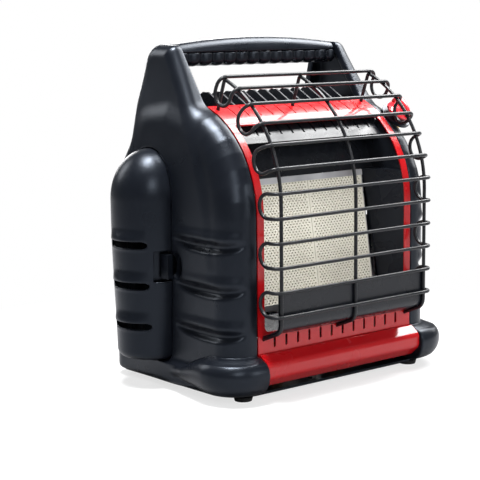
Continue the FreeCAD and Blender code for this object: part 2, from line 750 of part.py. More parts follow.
def reflector():
    """Flared side walls and sill between the panel's opening and the tiles."""
    t = REFLECTOR_T
    front = PANEL_Y + PANEL_T + FIT
    out = OPENING_HALF_W + REFLECTOR_OUT
    near = HOUSING_HALF + 1.5
    top = TILE_FOOT_Z + TILE_H
    side = prism("z", OPENING_LOW_Z - 4, top, [
        (-out, front), (-out + t, front), (-near + t, TILE_FOOT_Y + 30), (-near, TILE_FOOT_Y + 30)])
    lean = math.tan(math.radians(TILE_LEAN))
    trim = prism("x", -out - 5, 0, [
        (TILE_FOOT_Y + 2, OPENING_LOW_Z - 10), (TILE_FOOT_Y + 60, OPENING_LOW_Z - 10),
        (TILE_FOOT_Y + 60, top + 10), (TILE_FOOT_Y + 2 + (top - TILE_FOOT_Z) * lean, top + 10),
        (TILE_FOOT_Y + 2, TILE_FOOT_Z)])
    side = side.cut(trim)
    sill = prism("x", -out + 3, out - 3, [
        (front, OPENING_LOW_Z - 4), (front, OPENING_LOW_Z - 4 + t),
        (TILE_FOOT_Y + 1, TILE_FOOT_Z - 3.5), (TILE_FOOT_Y + 1, TILE_FOOT_Z - 3.5 - t)])
    notch = box(-PILOT_HALF_W - FIT, PILOT_HALF_W + FIT, PILOT_Y - PILOT_HALF_D - FIT,
                TILE_FOOT_Y + 10, OPENING_LOW_Z - 10, TILE_FOOT_Z)
    body = side.common(inside_panel(FIT))
    body = body.fuse(mirrored(body)).fuse(sill.cut(notch)).fuse(upper_reflector())
    return body.cut(housing_block(FIT)).removeSplitter()


def heat_shield():
    """Slotted dark sheet under the top, between the opening and the outlet grille."""
    inset = 9.0
    centre_y = PANEL_Y + PANEL_BEND_R
    radius = PANEL_BEND_R - inset
    t = SHEET_T

    def spot(angle, r):
        a = math.radians(angle)
        return centre_y - r * math.cos(a), PANEL_BEND_Z + r * math.sin(a)

    lip_y, lip_z = spot(50, PANEL_BEND_R - PANEL_T - FIT)
    a, b = spot(42, radius), spot(68, radius)
    bend = spot(55, radius / math.cos(math.radians(13)))
    line = [(a[0], a[1], 0), (bend[0], bend[1], radius), (b[0], b[1], 0)]
    half = OPENING_HALF_W - 3
    sheet = strip("x", -half, half, line, -t)
    for i in range(SLOT_COUNT):
        x = (i - (SLOT_COUNT - 1) / 2) * SLOT_PITCH
        sheet = sheet.cut(box(x - 1.5, x + 1.5, a[0] + 8, b[0] - 8, a[1] - 20, b[1] + 20))
    for x in (-half, half - t):
        post = prism("x", x, x + t, [
            (spot(50, radius - 1)[0], spot(50, radius - 1)[1]), (lip_y, lip_z),
            spot(64, PANEL_BEND_R - PANEL_T - FIT), (spot(64, radius - 1)[0], spot(64, radius - 1)[1])])
        inner = Part.makeCylinder(PANEL_BEND_R - PANEL_T - FIT, t + 2, V(x - 1, centre_y, PANEL_BEND_Z),
                                  V(1, 0, 0))
        sheet = sheet.fuse(post.common(inner))
    return sheet.removeSplitter()


def top_grille():
    half = (FIN_COUNT - 1) / 2 * FIN_PITCH + FIN_T
    front_y = PANEL_END_Y + END_GAP
    side = GRILLE_HALF_W
    rails = box(-side, side, front_y, front_y + RAIL_W, PANEL_TOP_Z - 8, PANEL_TOP_Z - 1)
    rails = rails.fuse(box(-side, side, GRILLE_BACK_Y - RAIL_W, GRILLE_BACK_Y,
                           GRILLE_BACK_Z - 8, GRILLE_BACK_Z))
    for x in (-side, side - RAIL_W):
        rails = rails.fuse(prism("x", x, x + RAIL_W, [
            (front_y, PANEL_TOP_Z - 8), (front_y, PANEL_TOP_Z - 1),
            (GRILLE_BACK_Y, GRILLE_BACK_Z), (GRILLE_BACK_Y, GRILLE_BACK_Z - 8)]))
    grille = rails
    for i in range(FIN_COUNT):
        x = -half + FIN_T / 2 + i * FIN_PITCH
        fin = prism("x", x, x + FIN_T, [
            (front_y, PANEL_TOP_Z - 8), (front_y, PANEL_TOP_Z - 1, 1),
            (FIN_TOP_Y - 4, FIN_TOP_Z, 4), (FIN_TOP_Y + 6, FIN_TOP_Z, 6),
            (GRILLE_BACK_Y, GRILLE_BACK_Z + 3, 2), (GRILLE_BACK_Y, GRILLE_BACK_Z - 8)])
        grille = grille.fuse(fin)
    return grille.removeSplitter()


def rear_profile():
    return [(HALF_D, SHELL_Z + FIT, 0), (HALF_D, REAR_SHOULDER_Z + 6, 34),
            (POST_TOP_REAR_Y + 15, GRILLE_BACK_Z - 12, 18), (GRILLE_BACK_Y + END_GAP, GRILLE_BACK_Z, 0)]


def rear_cover():
    half = SHELL_INNER_X - FIT
    cover = strip("x", -half, half, rear_profile(), WALL)
    low, high = BATTERY_LOW_Z, BATTERY_LOW_Z + BATTERY_H
    cover = cover.cut(box(-BATTERY_HALF_W, BATTERY_HALF_W, HALF_D - 10, HALF_D + 5, low, high))
    for i in range(9):
        z = FAN_Z + (i - 4) * 9
        reach = math.sqrt(max(FAN_R ** 2 - (z - FAN_Z) ** 2, 60))
        cover = cover.cut(prism("y", HALF_D - 8, HALF_D + 5, [
            (-reach, z - 2, 1.9), (reach, z - 2, 1.9), (reach, z + 2, 1.9), (-reach, z + 2, 1.9)]))
    for side in (-1, 1):
        for z in SCREW_ZS:
            x = side * SCREW_X
            cover = cover.cut(rod(V(x, HALF_D - 8, z), V(x, HALF_D + 5, z), SCREW_R + 0.2))
            cover = cover.cut(rod(V(x, HALF_D - 2, z), V(x, HALF_D + 5, z), SCREW_HEAD_R + 0.2))
    cover = cover.cut(rod(V(HOSE_X, HALF_D - 8, HOSE_Z), V(HOSE_X, HALF_D + 5, HOSE_Z), 15))
    cover = cover.cut(rod(V(JACK_X, HALF_D - 8, JACK_Z), V(JACK_X, HALF_D + 5, JACK_Z), 4.6))
    cover = cover.cut(box(ROCKER_X - 11, ROCKER_X + 11, HALF_D - 8, HALF_D + 5,
                          ROCKER_Z - 7, ROCKER_Z + 7))
    return cover


def handle_blank(low, high):
    reach = SHELL_INNER_X - FIT
    top = Part.Arc(V(-reach, HANDLE_Y - HANDLE_HALF_D, HANDLE_END_Z),
                   V(0, HANDLE_Y - HANDLE_HALF_D, OVERALL_H),
                   V(reach, HANDLE_Y - HANDLE_HALF_D, HANDLE_END_Z)).toShape()
    y = HANDLE_Y - HANDLE_HALF_D
    right = Part.LineSegment(V(reach, y, HANDLE_END_Z), V(reach, y, HANDLE_LOW_Z)).toShape()
    under = Part.LineSegment(V(reach, y, HANDLE_LOW_Z), V(-reach, y, HANDLE_LOW_Z)).toShape()
    left = Part.LineSegment(V(-reach, y, HANDLE_LOW_Z), V(-reach, y, HANDLE_END_Z)).toShape()
    bar = Part.Face(Part.Wire([top, right, under, left])).extrude(V(0, 2 * HANDLE_HALF_D, 0))
    section = prism("x", -reach - 5, reach + 5, [
        (HANDLE_Y - HANDLE_HALF_D, HANDLE_LOW_Z, 12), (HANDLE_Y + HANDLE_HALF_D, HANDLE_LOW_Z, 12),
        (HANDLE_Y + HANDLE_HALF_D, OVERALL_H, 15), (HANDLE_Y - HANDLE_HALF_D, OVERALL_H, 15)])
    return bar.common(section).common(box(-reach - 5, reach + 5, y - 5, HANDLE_Y + 30, low, high))


def handle_upper():
    outer = handle_blank(HANDLE_SPLIT_Z, OVERALL_H + 5)
    hollow = box(-SHELL_INNER_X + 8, SHELL_INNER_X - 8, HANDLE_Y - HANDLE_HALF_D + 4,
                 HANDLE_Y + HANDLE_HALF_D - 4, HANDLE_SPLIT_Z - 1, HANDLE_END_Z - 5)
    return outer.cut(hollow)


def handle_grip():
    outer = handle_blank(HANDLE_LOW_Z - 1, HANDLE_SPLIT_Z)
    hollow = box(-SHELL_INNER_X + 8, SHELL_INNER_X - 8, HANDLE_Y - HANDLE_HALF_D + 4,
                 HANDLE_Y + HANDLE_HALF_D - 4, HANDLE_LOW_Z + SCALLOP_DEPTH + 4, HANDLE_SPLIT_Z + 1)
    grip = outer.cut(hollow)
    for i in range(SCALLOP_COUNT - 1):
        x = (i - (SCALLOP_COUNT - 2) / 2) * SCALLOP_PITCH
        z = HANDLE_LOW_Z + SCALLOP_DEPTH - SCALLOP_R
        grip = grip.cut(rod(V(x, HANDLE_Y - 30, z), V(x, HANDLE_Y + 30, z), SCALLOP_R))
    return grip


def base_pan():
    floor_y = PANEL_Y + 4
    half = BODY_HALF_W - 4
    pan = prism("z", BASE_Z, BASE_Z + BASE_T, [
        (-half, floor_y, 40), (half, floor_y, 40), (half, HALF_D - 4, 20), (-half, HALF_D - 4, 20)])
    return pan


def feet():
    pads = []
    for x in (-FOOT_X, FOOT_X):
        for y in (FOOT_FRONT_Y, FOOT_REAR_Y):
            pads.append(Part.makeCone(FOOT_R - 1.5, FOOT_R, BASE_Z, V(x, y, 0)))
    return Part.makeCompound(pads)


def burner_legs():
    legs = []
    for side in (-1, 1):
        x0 = side * (HOUSING_HALF + 0.02)
        x1 = side * (HOUSING_HALF + LEG_T)
        y0 = RAIL_Y - LEG_W / 2
        wall = box(min(x0, x1), max(x0, x1), y0, y0 + LEG_W, SHELL_Z, TILE_FOOT_Z + 60)
        toe = box(min(x0, x0 + side * 18), max(x0, x0 + side * 18), y0, y0 + LEG_W,
                  SHELL_Z, SHELL_Z + LEG_T)
        passage = rod(V(x0 - 30, RAIL_Y, RAIL_Z), V(x0 + 30, RAIL_Y, RAIL_Z), RAIL_R + FIT)
        legs.append(wall.fuse(toe).cut(passage).removeSplitter())
    return Part.makeCompound(legs)


def venturi_tubes():
    tubes = []
    for x in (-TILE_W / 2, TILE_W / 2):
        outer = Part.makeCylinder(VENTURI_R, TILE_FOOT_Z + 8 - VENTURI_LOW_Z, V(x, RAIL_Y, VENTURI_LOW_Z))
        mouth = Part.makeCone(VENTURI_R + 3, VENTURI_R, 10, V(x, RAIL_Y, VENTURI_LOW_Z))
        bore = Part.makeCylinder(VENTURI_R - SHEET_T, TILE_FOOT_Z, V(x, RAIL_Y, VENTURI_LOW_Z - 1))
        flare = Part.makeCone(VENTURI_R + 3 - SHEET_T, VENTURI_R - SHEET_T, 10,
                              V(x, RAIL_Y, VENTURI_LOW_Z))
        tubes.append(outer.fuse(mouth).cut(bore).cut(flare))
    return Part.makeCompound(tubes)


def burner_manifold():
    """Brass rail under the burner, on two blocks that stand on the base pan."""
    rail = rod(V(-TILE_W / 2 - RAIL_OVERHANG, RAIL_Y, RAIL_Z), V(FEED_X + 5, RAIL_Y, RAIL_Z), RAIL_R)
    for x in (-TILE_W / 2, TILE_W / 2):
        rail = rail.fuse(box(x - 8, x + 8, RAIL_Y - 7, RAIL_Y + 7, SHELL_Z, RAIL_Z))
    for x in (-TILE_W / 2, TILE_W / 2):
        rail = rail.cut(rod(V(x, RAIL_Y, RAIL_Z), V(x, RAIL_Y, RAIL_Z + 12), ORIFICE_R))
    rail = rail.cut(rod(V(FEED_X, RAIL_Y, RAIL_Z), V(FEED_X, RAIL_Y, RAIL_Z + 12), TUBE_R))
    return rail.removeSplitter()


def orifices():
    jets = []
    for x in (-TILE_W / 2, TILE_W / 2):
        stem = rod(V(x, RAIL_Y, RAIL_Z), V(x, RAIL_Y, RAIL_Z + RAIL_R + 9), ORIFICE_R)
        nut = prism("z", RAIL_Z + RAIL_R, RAIL_Z + RAIL_R + 5, [
            (x + 4.5 * math.cos(math.radians(60 * k)), RAIL_Y + 4.5 * math.sin(math.radians(60 * k)))
            for k in range(6)])
        jet = stem.fuse(nut)
        jets.append(jet.cut(rod(V(x, RAIL_Y, RAIL_Z - 1), V(x, RAIL_Y, RAIL_Z + 30), 0.6)))
    return Part.makeCompound(jets)


def knob_axis():
    """Outward normal of the shoulder where the knob stands."""
    centre_y = PANEL_Y + PANEL_BEND_R
    return V(0, KNOB_Y - centre_y, panel_point(KNOB_Y) - PANEL_BEND_Z).normalize()


KNOB_SEAT = V(KNOB_X, KNOB_Y, panel_point(KNOB_Y))


def along_knob(distance):
    return KNOB_SEAT + knob_axis() * distance


VALVE_TOP = -WALL - 1.0


def gas_valve():
    body = Part.makeCylinder(VALVE_R, VALVE_H, along_knob(VALVE_TOP - VALVE_H), knob_axis())
    neck = Part.makeCylinder(8, 6, along_knob(VALVE_TOP - 1), knob_axis())
    valve = body.fuse(neck)
    low = along_knob(VALVE_TOP - VALVE_H / 2)
    outlet = rod(low, V(FEED_X + 10, low.y, low.z), TUBE_R + 2)
    inlet = rod(low, V(low.x, low.y + VALVE_R + 8, low.z), TUBE_R + 2)
    valve = valve.fuse(outlet).fuse(inlet)
    valve = valve.cut(Part.makeCylinder(SPINDLE_R + 0.05, 24, along_knob(VALVE_TOP - 14), knob_axis()))
    valve = valve.cut(rod(V(FEED_X + 14, low.y, low.z), V(FEED_X - 5, low.y, low.z), TUBE_R))
    valve = valve.cut(rod(V(low.x, low.y + VALVE_R + 3, low.z), V(low.x, low.y + 60, low.z), TUBE_R))
    return valve.removeSplitter()


def valve_spindle():
    stem = Part.makeCylinder(SPINDLE_R, 30, along_knob(VALVE_TOP - 14 + PRESS + 0.5), knob_axis())
    return stem


SPINDLE_TOP = VALVE_TOP - 14 + PRESS + 0.5 + 30


def knob_bezel():
    ring = Part.makeCylinder(BEZEL_R, BEZEL_H + 4, along_knob(-4), knob_axis())
    ring = ring.cut(Part.makeCylinder(8 + FIT, 20, along_knob(-10), knob_axis()))
    return ring.cut(panel_core(0.05))


def panel_core(grow):
    """Everything inside the moulded shoulder's outside face."""
    centre_y = PANEL_Y + PANEL_BEND_R
    return Part.makeCylinder(PANEL_BEND_R + grow, 2 * BODY_HALF_W, V(-BODY_HALF_W, centre_y, PANEL_BEND_Z),
                             V(1, 0, 0))


KNOB_LIFT = BEZEL_H + PRESS + 1.5


def control_knob():
    disc = Part.makeCylinder(KNOB_R, KNOB_H, along_knob(KNOB_LIFT), knob_axis())
    grip = box(-KNOB_GRIP_W / 2, KNOB_GRIP_W / 2, -KNOB_R, KNOB_R, 0, KNOB_GRIP_H)
    turn = FreeCAD.Rotation(V(0, 0, 1), knob_axis())
    grip.Placement = FreeCAD.Placement(along_knob(KNOB_LIFT + KNOB_H), turn)
    knob = disc.fuse(grip)
    return knob.cut(Part.makeCylinder(SPINDLE_R, SPINDLE_TOP - KNOB_LIFT + 0.02, along_knob(KNOB_LIFT - 0.01),
                                      knob_axis()))


def gas_line():
    """Copper tube between the two regulator posts, behind the burner."""
    reach = REG_X - REG_PIVOT_R
    return rod(V(-reach, MANIFOLD_Y, MANIFOLD_Z), V(reach, MANIFOLD_Y, MANIFOLD_Z), TUBE_R)


def valve_inlet_tube():
    low = along_knob(VALVE_TOP - VALVE_H / 2)
    start = V(low.x, low.y + VALVE_R + 3, low.z)
    line = [start, V(low.x, MANIFOLD_Y - 32, low.z), V(INLET_TUBE_X, MANIFOLD_Y - 20, MANIFOLD_Z + 10),
            V(INLET_TUBE_X, MANIFOLD_Y - TUBE_R, MANIFOLD_Z)]
    shape = tube(line, [0, 8, 5, 0], TUBE_R - 0.5)
    return shape.cut(rod(V(-REG_X, MANIFOLD_Y, MANIFOLD_Z), V(REG_X, MANIFOLD_Y, MANIFOLD_Z), TUBE_R))


def burner_feed_tube():
    low = along_knob(VALVE_TOP - VALVE_H / 2)
    drop = low.z - FEED_DROP
    line = [V(FEED_X + FEED_START, low.y, low.z), V(FEED_X, low.y, low.z), V(FEED_X, low.y, drop),
            V(FEED_X, RAIL_Y, drop - FEED_SWEEP), V(FEED_X, RAIL_Y, RAIL_Z)]
    return tube(line, [0, 9, 12, 30, 0], TUBE_R)


def pilot_parts():
    """Bracket, burner, flame sensor and spark electrode at the foot of the tiles."""
    y = PILOT_Y
    z = TILE_FOOT_Z - PILOT_DROP
    t = 1.5
    tab_y = TILE_FOOT_Y + 6
    lean = math.radians(TILE_LEAN)
    under = TILE_FOOT_Z - (SHEET_T + FIT) * math.cos(lean) - (6 + t) * math.sin(lean) - FIT / 2
    bracket = box(-PILOT_HALF_W, PILOT_HALF_W, y - PILOT_HALF_D, tab_y + t, z - t, z)
    bracket = bracket.fuse(box(-PILOT_HALF_W, PILOT_HALF_W, tab_y, tab_y + t, z - t, under))
    for x in (-12, 0, 12):
        bracket = bracket.cut(rod(V(x, y, z - 5), V(x, y, z + 5), PILOT_R))
    burner = rod(V(0, y, z - 16), V(0, y, z + 12), PILOT_R).fuse(
        box(-4, 4, y - 4, y + 4, z + 6, z + 14))
    burner = burner.cut(rod(V(0, y, z - 17), V(0, y, z + 10), 1.2))
    sensor = rod(V(-12, y, z - 22), V(-12, y, z + 16), PILOT_R)
    spark = rod(V(12, y, z - 18), V(12, y, z + 8), PILOT_R).fuse(
        rod(V(12, y, z + 8), V(12, y, z + 18), 0.8))
    return bracket, burner, sensor, spark


def fan_motor():
    body = rod(V(0, FAN_Y - FAN_W / 2 - 4 - MOTOR_L, FAN_Z), V(0, FAN_Y - FAN_W / 2 - 4, FAN_Z), MOTOR_R)
    return body.fuse(rod(V(0, FAN_Y - FAN_W / 2 - 5, FAN_Z), V(0, FAN_Y + FAN_W / 2 - 2, FAN_Z), SHAFT_R))


def fan_wheel():
    hub = rod(V(0, FAN_Y - FAN_W / 2, FAN_Z), V(0, FAN_Y + FAN_W / 2, FAN_Z), 9)
    for i in range(FAN_BLADES):
        blade = box(-1, 1, FAN_Y - FAN_W / 2, FAN_Y + FAN_W / 2, FAN_Z + 6, FAN_Z + FAN_R)
        blade.rotate(V(0, FAN_Y, FAN_Z + 20), V(0, 0, 1), 32)
        blade.rotate(V(0, FAN_Y, FAN_Z), V(0, 1, 0), i * 360 / FAN_BLADES)
        hub = hub.fuse(blade)
    bore = rod(V(0, FAN_Y - FAN_W / 2 - 1, FAN_Z), V(0, FAN_Y + FAN_W / 2 - 2 + 0.3, FAN_Z),
               SHAFT_R + HINGE_RUNNING)
    return hub.cut(bore).removeSplitter()


def fan_bracket():
    """Plate that holds the motor and stands off the back cover on four posts."""
    y = FAN_Y - FAN_W / 2 - 8
    half = FAN_R + 6
    plate = box(-half, half, y - 2, y, FAN_Z - half, FAN_Z + half)
    plate = plate.cut(rod(V(0, y - 5, FAN_Z), V(0, y + 5, FAN_Z), MOTOR_R))
    for dx in (-1, 1):
        for dz in (-1, 1):
            x, z = dx * (half - 4), FAN_Z + dz * (half - 4)
            plate = plate.cut(rod(V(x * 0.55, y - 5, FAN_Z + dz * (half - 4) * 0.55),
                                  V(x * 0.55, y + 5, FAN_Z + dz * (half - 4) * 0.55), 8))
            plate = plate.fuse(rod(V(x, y - 2, z), V(x, HALF_D - WALL, z), 3.5))
    return plate.removeSplitter()


def battery_box():
    low, high = BATTERY_LOW_Z, BATTERY_LOW_Z + BATTERY_H
    back = HALF_D - WALL - FIT
    w = BATTERY_WALL
    case = box(-BATTERY_HALF_W - w, BATTERY_HALF_W + w, back - BATTERY_DEPTH, back, low - w, high + w)
    case = case.cut(box(-BATTERY_HALF_W, BATTERY_HALF_W, back - BATTERY_DEPTH + w, back + 1, low, high))
    rib_z = (low + high) / 2
    return case.fuse(box(-BATTERY_HALF_W, BATTERY_HALF_W, back - BATTERY_DEPTH + w, back - BATTERY_DEPTH + w + 12,
                         rib_z - 1, rib_z + 1)).removeSplitter()


def battery_springs():
    """Contact plates at the ends of the two cell rows."""
    plates = []
    back = HALF_D - WALL - FIT - BATTERY_DEPTH + BATTERY_WALL
    quarter = BATTERY_H / 4
    for side in (-1, 1):
        for z in (BATTERY_LOW_Z + quarter, BATTERY_LOW_Z + 3 * quarter):
            x0 = side * BATTERY_HALF_W
            x1 = side * (BATTERY_HALF_W - 0.8)
            plates.append(box(min(x0, x1), max(x0, x1), back + 6, back + 26, z - 8, z + 8))
    return Part.makeCompound(plates)


DOOR_HINGE_Z = BATTERY_LOW_Z + BATTERY_H - 3.0
DOOR_HINGE_Y = HALF_D - WALL + 0.5


def battery_door():
    low, high = BATTERY_LOW_Z + FIT, BATTERY_LOW_Z + BATTERY_H
    half = BATTERY_HALF_W - FIT
    door = box(-half, half, HALF_D - DOOR_T, HALF_D - 0.2, low + 0.5, DOOR_HINGE_Z)
    barrel = rod(V(-half, DOOR_HINGE_Y, DOOR_HINGE_Z), V(half, DOOR_HINGE_Y, DOOR_HINGE_Z), 2.4)
    door = door.fuse(barrel)
    return door.cut(rod(V(-half - 1, DOOR_HINGE_Y, DOOR_HINGE_Z), V(half + 1, DOOR_HINGE_Y, DOOR_HINGE_Z),
                        1.2 + HINGE_RUNNING)).removeSplitter()


def battery_door_pin():
    reach = BATTERY_HALF_W
    return rod(V(-reach, DOOR_HINGE_Y, DOOR_HINGE_Z), V(reach, DOOR_HINGE_Y, DOOR_HINGE_Z), 1.2)


def fan_switch_housing():
    back = HALF_D - 0.4
    case = box(ROCKER_X - 11 + FIT, ROCKER_X + 11 - FIT, back - 16, back, ROCKER_Z - 7 + FIT, ROCKER_Z + 7 - FIT)
    case = case.cut(box(ROCKER_X - 8.5, ROCKER_X + 8.5, back - 11, back + 1, ROCKER_Z - 5, ROCKER_Z + 5))
    ears = rod(V(ROCKER_X, back - 5, ROCKER_Z - 6), V(ROCKER_X, back - 5, ROCKER_Z + 6), 1.0)
    return case.fuse(ears)


def fan_rocker():
    back = HALF_D - 0.4
    rocker = prism("z", ROCKER_Z - 4.6, ROCKER_Z + 4.6, [
        (ROCKER_X - 7.2, back - 3), (ROCKER_X, back - 1.6), (ROCKER_X + 7.2, back - 3),
        (ROCKER_X + 3, back - 8, 1), (ROCKER_X - 3, back - 8, 1)])
    return rocker.cut(rod(V(ROCKER_X, back - 5, ROCKER_Z - 6), V(ROCKER_X, back - 5, ROCKER_Z + 6),
                          1.0 + HINGE_RUNNING))


def power_jack():
    body = rod(V(JACK_X, HALF_D - WALL - JACK_L, JACK_Z), V(JACK_X, HALF_D - WALL - FIT, JACK_Z), 7)
    body = body.fuse(rod(V(JACK_X, HALF_D - WALL - 1, JACK_Z), V(JACK_X, HALF_D - 0.3, JACK_Z), 4.3))
    return body.cut(rod(V(JACK_X, HALF_D - 12, JACK_Z), V(JACK_X, HALF_D + 1, JACK_Z), 2.8)).fuse(
        rod(V(JACK_X, HALF_D - 13, JACK_Z), V(JACK_X, HALF_D - 2, JACK_Z), 1.0))


def hose_connector():
    """Quick connector for a hose, sunk in a round recess of the back cover."""
    back = V(HOSE_X, HALF_D, HOSE_Z)
    cup = rod(back - V(0, HOSE_CUP_D, 0), back - V(0, WALL + FIT, 0), HOSE_CUP_R)
    cup = cup.cut(rod(back - V(0, HOSE_RECESS_D, 0), back, HOSE_RECESS_R))
    plug = rod(V(HOSE_X, HALF_D - 30, HOSE_Z), V(HOSE_X, HALF_D - 1, HOSE_Z), HOSE_R)
    plug = plug.cut(rod(V(HOSE_X, HALF_D - 26, HOSE_Z), V(HOSE_X, HALF_D, HOSE_Z), 4))
    return cup.fuse(plug)


def tilt_switch():
    return box(-30, -6, COVER_Y - 30, COVER_Y - 8, SHELL_Z, SHELL_Z + 18)


def rear_screws():
    screws = []
    for side in (-1, 1):
        for z in SCREW_ZS:
            x = side * SCREW_X
            head = rod(V(x, HALF_D - 2, z), V(x, HALF_D - 0.2, z), SCREW_HEAD_R)
            head = head.cut(box(x - 2.4, x + 2.4, HALF_D - 1, HALF_D, z - 0.4, z + 0.4))
            head = head.cut(box(x - 0.4, x + 0.4, HALF_D - 1, HALF_D, z - 2.4, z + 2.4))
            screws.append(head.fuse(rod(V(x, HALF_D - 16, z), V(x, HALF_D - 2, z), SCREW_R)))
    return Part.makeCompound(screws)


def build():
    """Every piece of the heater under its node's name."""
    shell = side_shell()
    knob_hole = Part.makeCylinder(8 + FIT, 30, along_knob(-15), knob_axis())
    left = {"side_shell": shell, "tank_cover": tank_cover(), "cover_hinge_pins": hinge_pins(),
            "cover_latch": cover_latch(), "regulator": regulator(),
            "regulator_post": regulator_pivot()}
    parts = {}
    for name, shape in left.items():
        parts["left_" + name] = shape
        parts["right_" + name] = mirrored(shape)
    parts["right_side_shell"] = parts["right_side_shell"].cut(knob_hole)
    bracket, pilot, sensor, spark = pilot_parts()
    parts.update({
        "base_pan": base_pan(), "feet": feet(), "rear_cover": rear_cover(),
        "rear_screws": rear_screws(), "front_panel": front_panel(), "bumper": bumper(),
        "guard_loops": guard_loops(), "guard_uprights": guard_uprights(),
        "deflector_plate": deflector_plate(), "left_tile": tile(-1), "right_tile": tile(1),
        "tile_clips": tile_clips(), "burner_housing": burner_housing(), "burner_legs": burner_legs(),
        "reflector": reflector(), "heat_shield": heat_shield(), "top_grille": top_grille(),
        "handle_upper": handle_upper(), "handle_grip": handle_grip(),
        "venturi_tubes": venturi_tubes(), "burner_manifold": burner_manifold(),
        "orifices": orifices(), "gas_valve": gas_valve(), "valve_spindle": valve_spindle(),
        "knob_bezel": knob_bezel(), "control_knob": control_knob(), "gas_line": gas_line(),
        "valve_inlet_tube": valve_inlet_tube(), "burner_feed_tube": burner_feed_tube(),
        "pilot_bracket": bracket, "pilot_burner": pilot, "flame_sensor": sensor,
        "spark_electrode": spark, "fan_motor": fan_motor(), "fan_wheel": fan_wheel(),
        "fan_bracket": fan_bracket(), "battery_box": battery_box(),
        "battery_contacts": battery_springs(), "battery_door": battery_door(),
        "battery_door_pin": battery_door_pin(), "fan_switch_housing": fan_switch_housing(),
        "fan_rocker": fan_rocker(), "power_jack": power_jack(), "hose_connector": hose_connector(),
        "tilt_switch": tilt_switch()})
    return parts


os.makedirs("parts", exist_ok=True)
for name, shape in build().items():
    if not shape.isValid():
        print("not valid:", name)
    print(name, len(shape.Solids), round(shape.Volume))
    shape.exportStep("parts/" + name + ".step")
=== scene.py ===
import json
import math

import bpy
import numpy as np
from mathutils import Matrix, Vector


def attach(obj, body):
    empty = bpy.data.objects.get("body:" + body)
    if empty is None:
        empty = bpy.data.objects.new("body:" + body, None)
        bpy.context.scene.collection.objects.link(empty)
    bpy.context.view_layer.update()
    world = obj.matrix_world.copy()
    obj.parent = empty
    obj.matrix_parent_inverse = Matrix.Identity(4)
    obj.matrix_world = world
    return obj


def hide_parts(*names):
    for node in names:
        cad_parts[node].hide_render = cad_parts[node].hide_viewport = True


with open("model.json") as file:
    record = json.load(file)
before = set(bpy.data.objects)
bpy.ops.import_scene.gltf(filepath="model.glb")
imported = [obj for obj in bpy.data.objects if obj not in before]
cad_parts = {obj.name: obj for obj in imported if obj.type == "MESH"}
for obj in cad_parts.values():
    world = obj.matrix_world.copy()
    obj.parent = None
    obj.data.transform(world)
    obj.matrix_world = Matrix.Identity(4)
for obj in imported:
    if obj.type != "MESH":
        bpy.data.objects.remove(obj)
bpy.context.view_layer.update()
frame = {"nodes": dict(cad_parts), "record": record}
NODES = frame["nodes"]

# Sizes are in millimetres and become metres when a mesh is made.
MM = 0.001

# Surface nets
SOFTEN_SHARE = 0.5
SOFTEN_PASSES = 2

# Moulded body: grids are the low corner, the high corner and the step
BODY_HALF_W = 172.0
SEAM_X = 131.0
SEAM_GAP = 0.4
SHELL_WALL = 3.0
GROOVE_ALLOWANCE = 7.0
PANEL_Y = -101.0
REAR_Y = 137.5
BELOW_FLOOR = -90.0
SHELL_LOW = 8.0
SHELL_GRID = (SEAM_X - 3, -130, SHELL_LOW - 4), (201, 145, 430), 1.5
SHOULDER_EDGE_R = 33.0
SHOULDER_IN = 6.0
SHOULDER_RISE = (215, 310)
POST_EDGE_R = 16.0
POST_IN = 20.0
POST_RISE = (250, 430)
POST_BLEND = 7.0
BASE_OUT = 9.0
BASE_REAR_IN = 3.0
BASE_TOP = 34.0
BASE_EDGE_R = 24.0
BASE_BLEND = 9.0
BASE_FOOT_R = 6.0

# Finger grooves, the scoop beside the latch and the swelling of the foot
CORNER_SHARE = 0.75
GROOVE_HEIGHTS = (188, 134, 81)
GROOVE_MIDDLE = 56.0
GROOVE_REACH = 62.0
GROOVE_LIP_DROP = 11.0
GROOVE_FLOOR_H = 8.0
GROOVE_CEILING = (-3, 10)
GROOVE_DEPTH = 6.0
GROOVE_HOOD = 2.2
SCOOP_MIDDLE = (BODY_HALF_W + 2, 4, 156)
SCOOP_RADII = (10, 12, 17)
FOOT_TIP = -16.0
FOOT_FULL = 75.0
FOOT_TIP_Z = 26.0
FOOT_RISE = 9.0
FOOT_TIP_H = 3.0
FOOT_H = 16.5
FOOT_TIP_OUT = 2.0
FOOT_OUT = 19.0

# Cylinder cover
COVER_R = 49.0
COVER_HALF_D = 48.5
COVER_FOOT_IN = 5.0
COVER_EDGE_R = 11.0
COVER_X = 169.0
COVER_Y = 60.0
COVER_LOW = 36.0
COVER_SPRING_Z = 235.0
COVER_DOME_H = 62.0
COVER_WALL = 2.5
COVER_FACE_X = 173.5
COVER_SEAM = 0.7
COVER_GRID = (164, 4, 32), (225, 116, 301), 1.25
VENT_COUNT = 3
VENT_PITCH = 51.0
VENT_LOW_Z = 76.0
VENT_H = 8.0
VENT_HALF_W = 29.0
VENT_END = 5.0
VENT_Y = 53.0
VENT_INNER_X = COVER_X + 10
HOOD_OUT = 3.8
LIP_OUT = 1.2
LATCH_Z = 155.0
LATCH_H = 30.0
RECESS_MARGIN = 4.0
RECESS_BACK_Y = 36.0
RECESS_DEPTH = 11.0
RECESS_OUTER_X = COVER_FACE_X + 20
RECESS_FLOOR_T = 2.5
RECESS_LAP = 1.5

# Handle
HANDLE_Y = 60.0
HANDLE_HALF_D = 20.0
HANDLE_LOW = 396.0
HANDLE_SPLIT = 413.0
HANDLE_TOP = 431.8
HANDLE_END_Z = 424.0
HANDLE_GAP = 0.3
HANDLE_TOP_R = 14.0
HANDLE_LOW_R = 9.0
HANDLE_SPLIT_R = 0.8
HANDLE_GRID = (-134, 36, 392), (134, 84, 435), 1.3
RIB_PITCH = 19.6
RIB_DEPTH = 4.2
RIB_REACH = 6.6

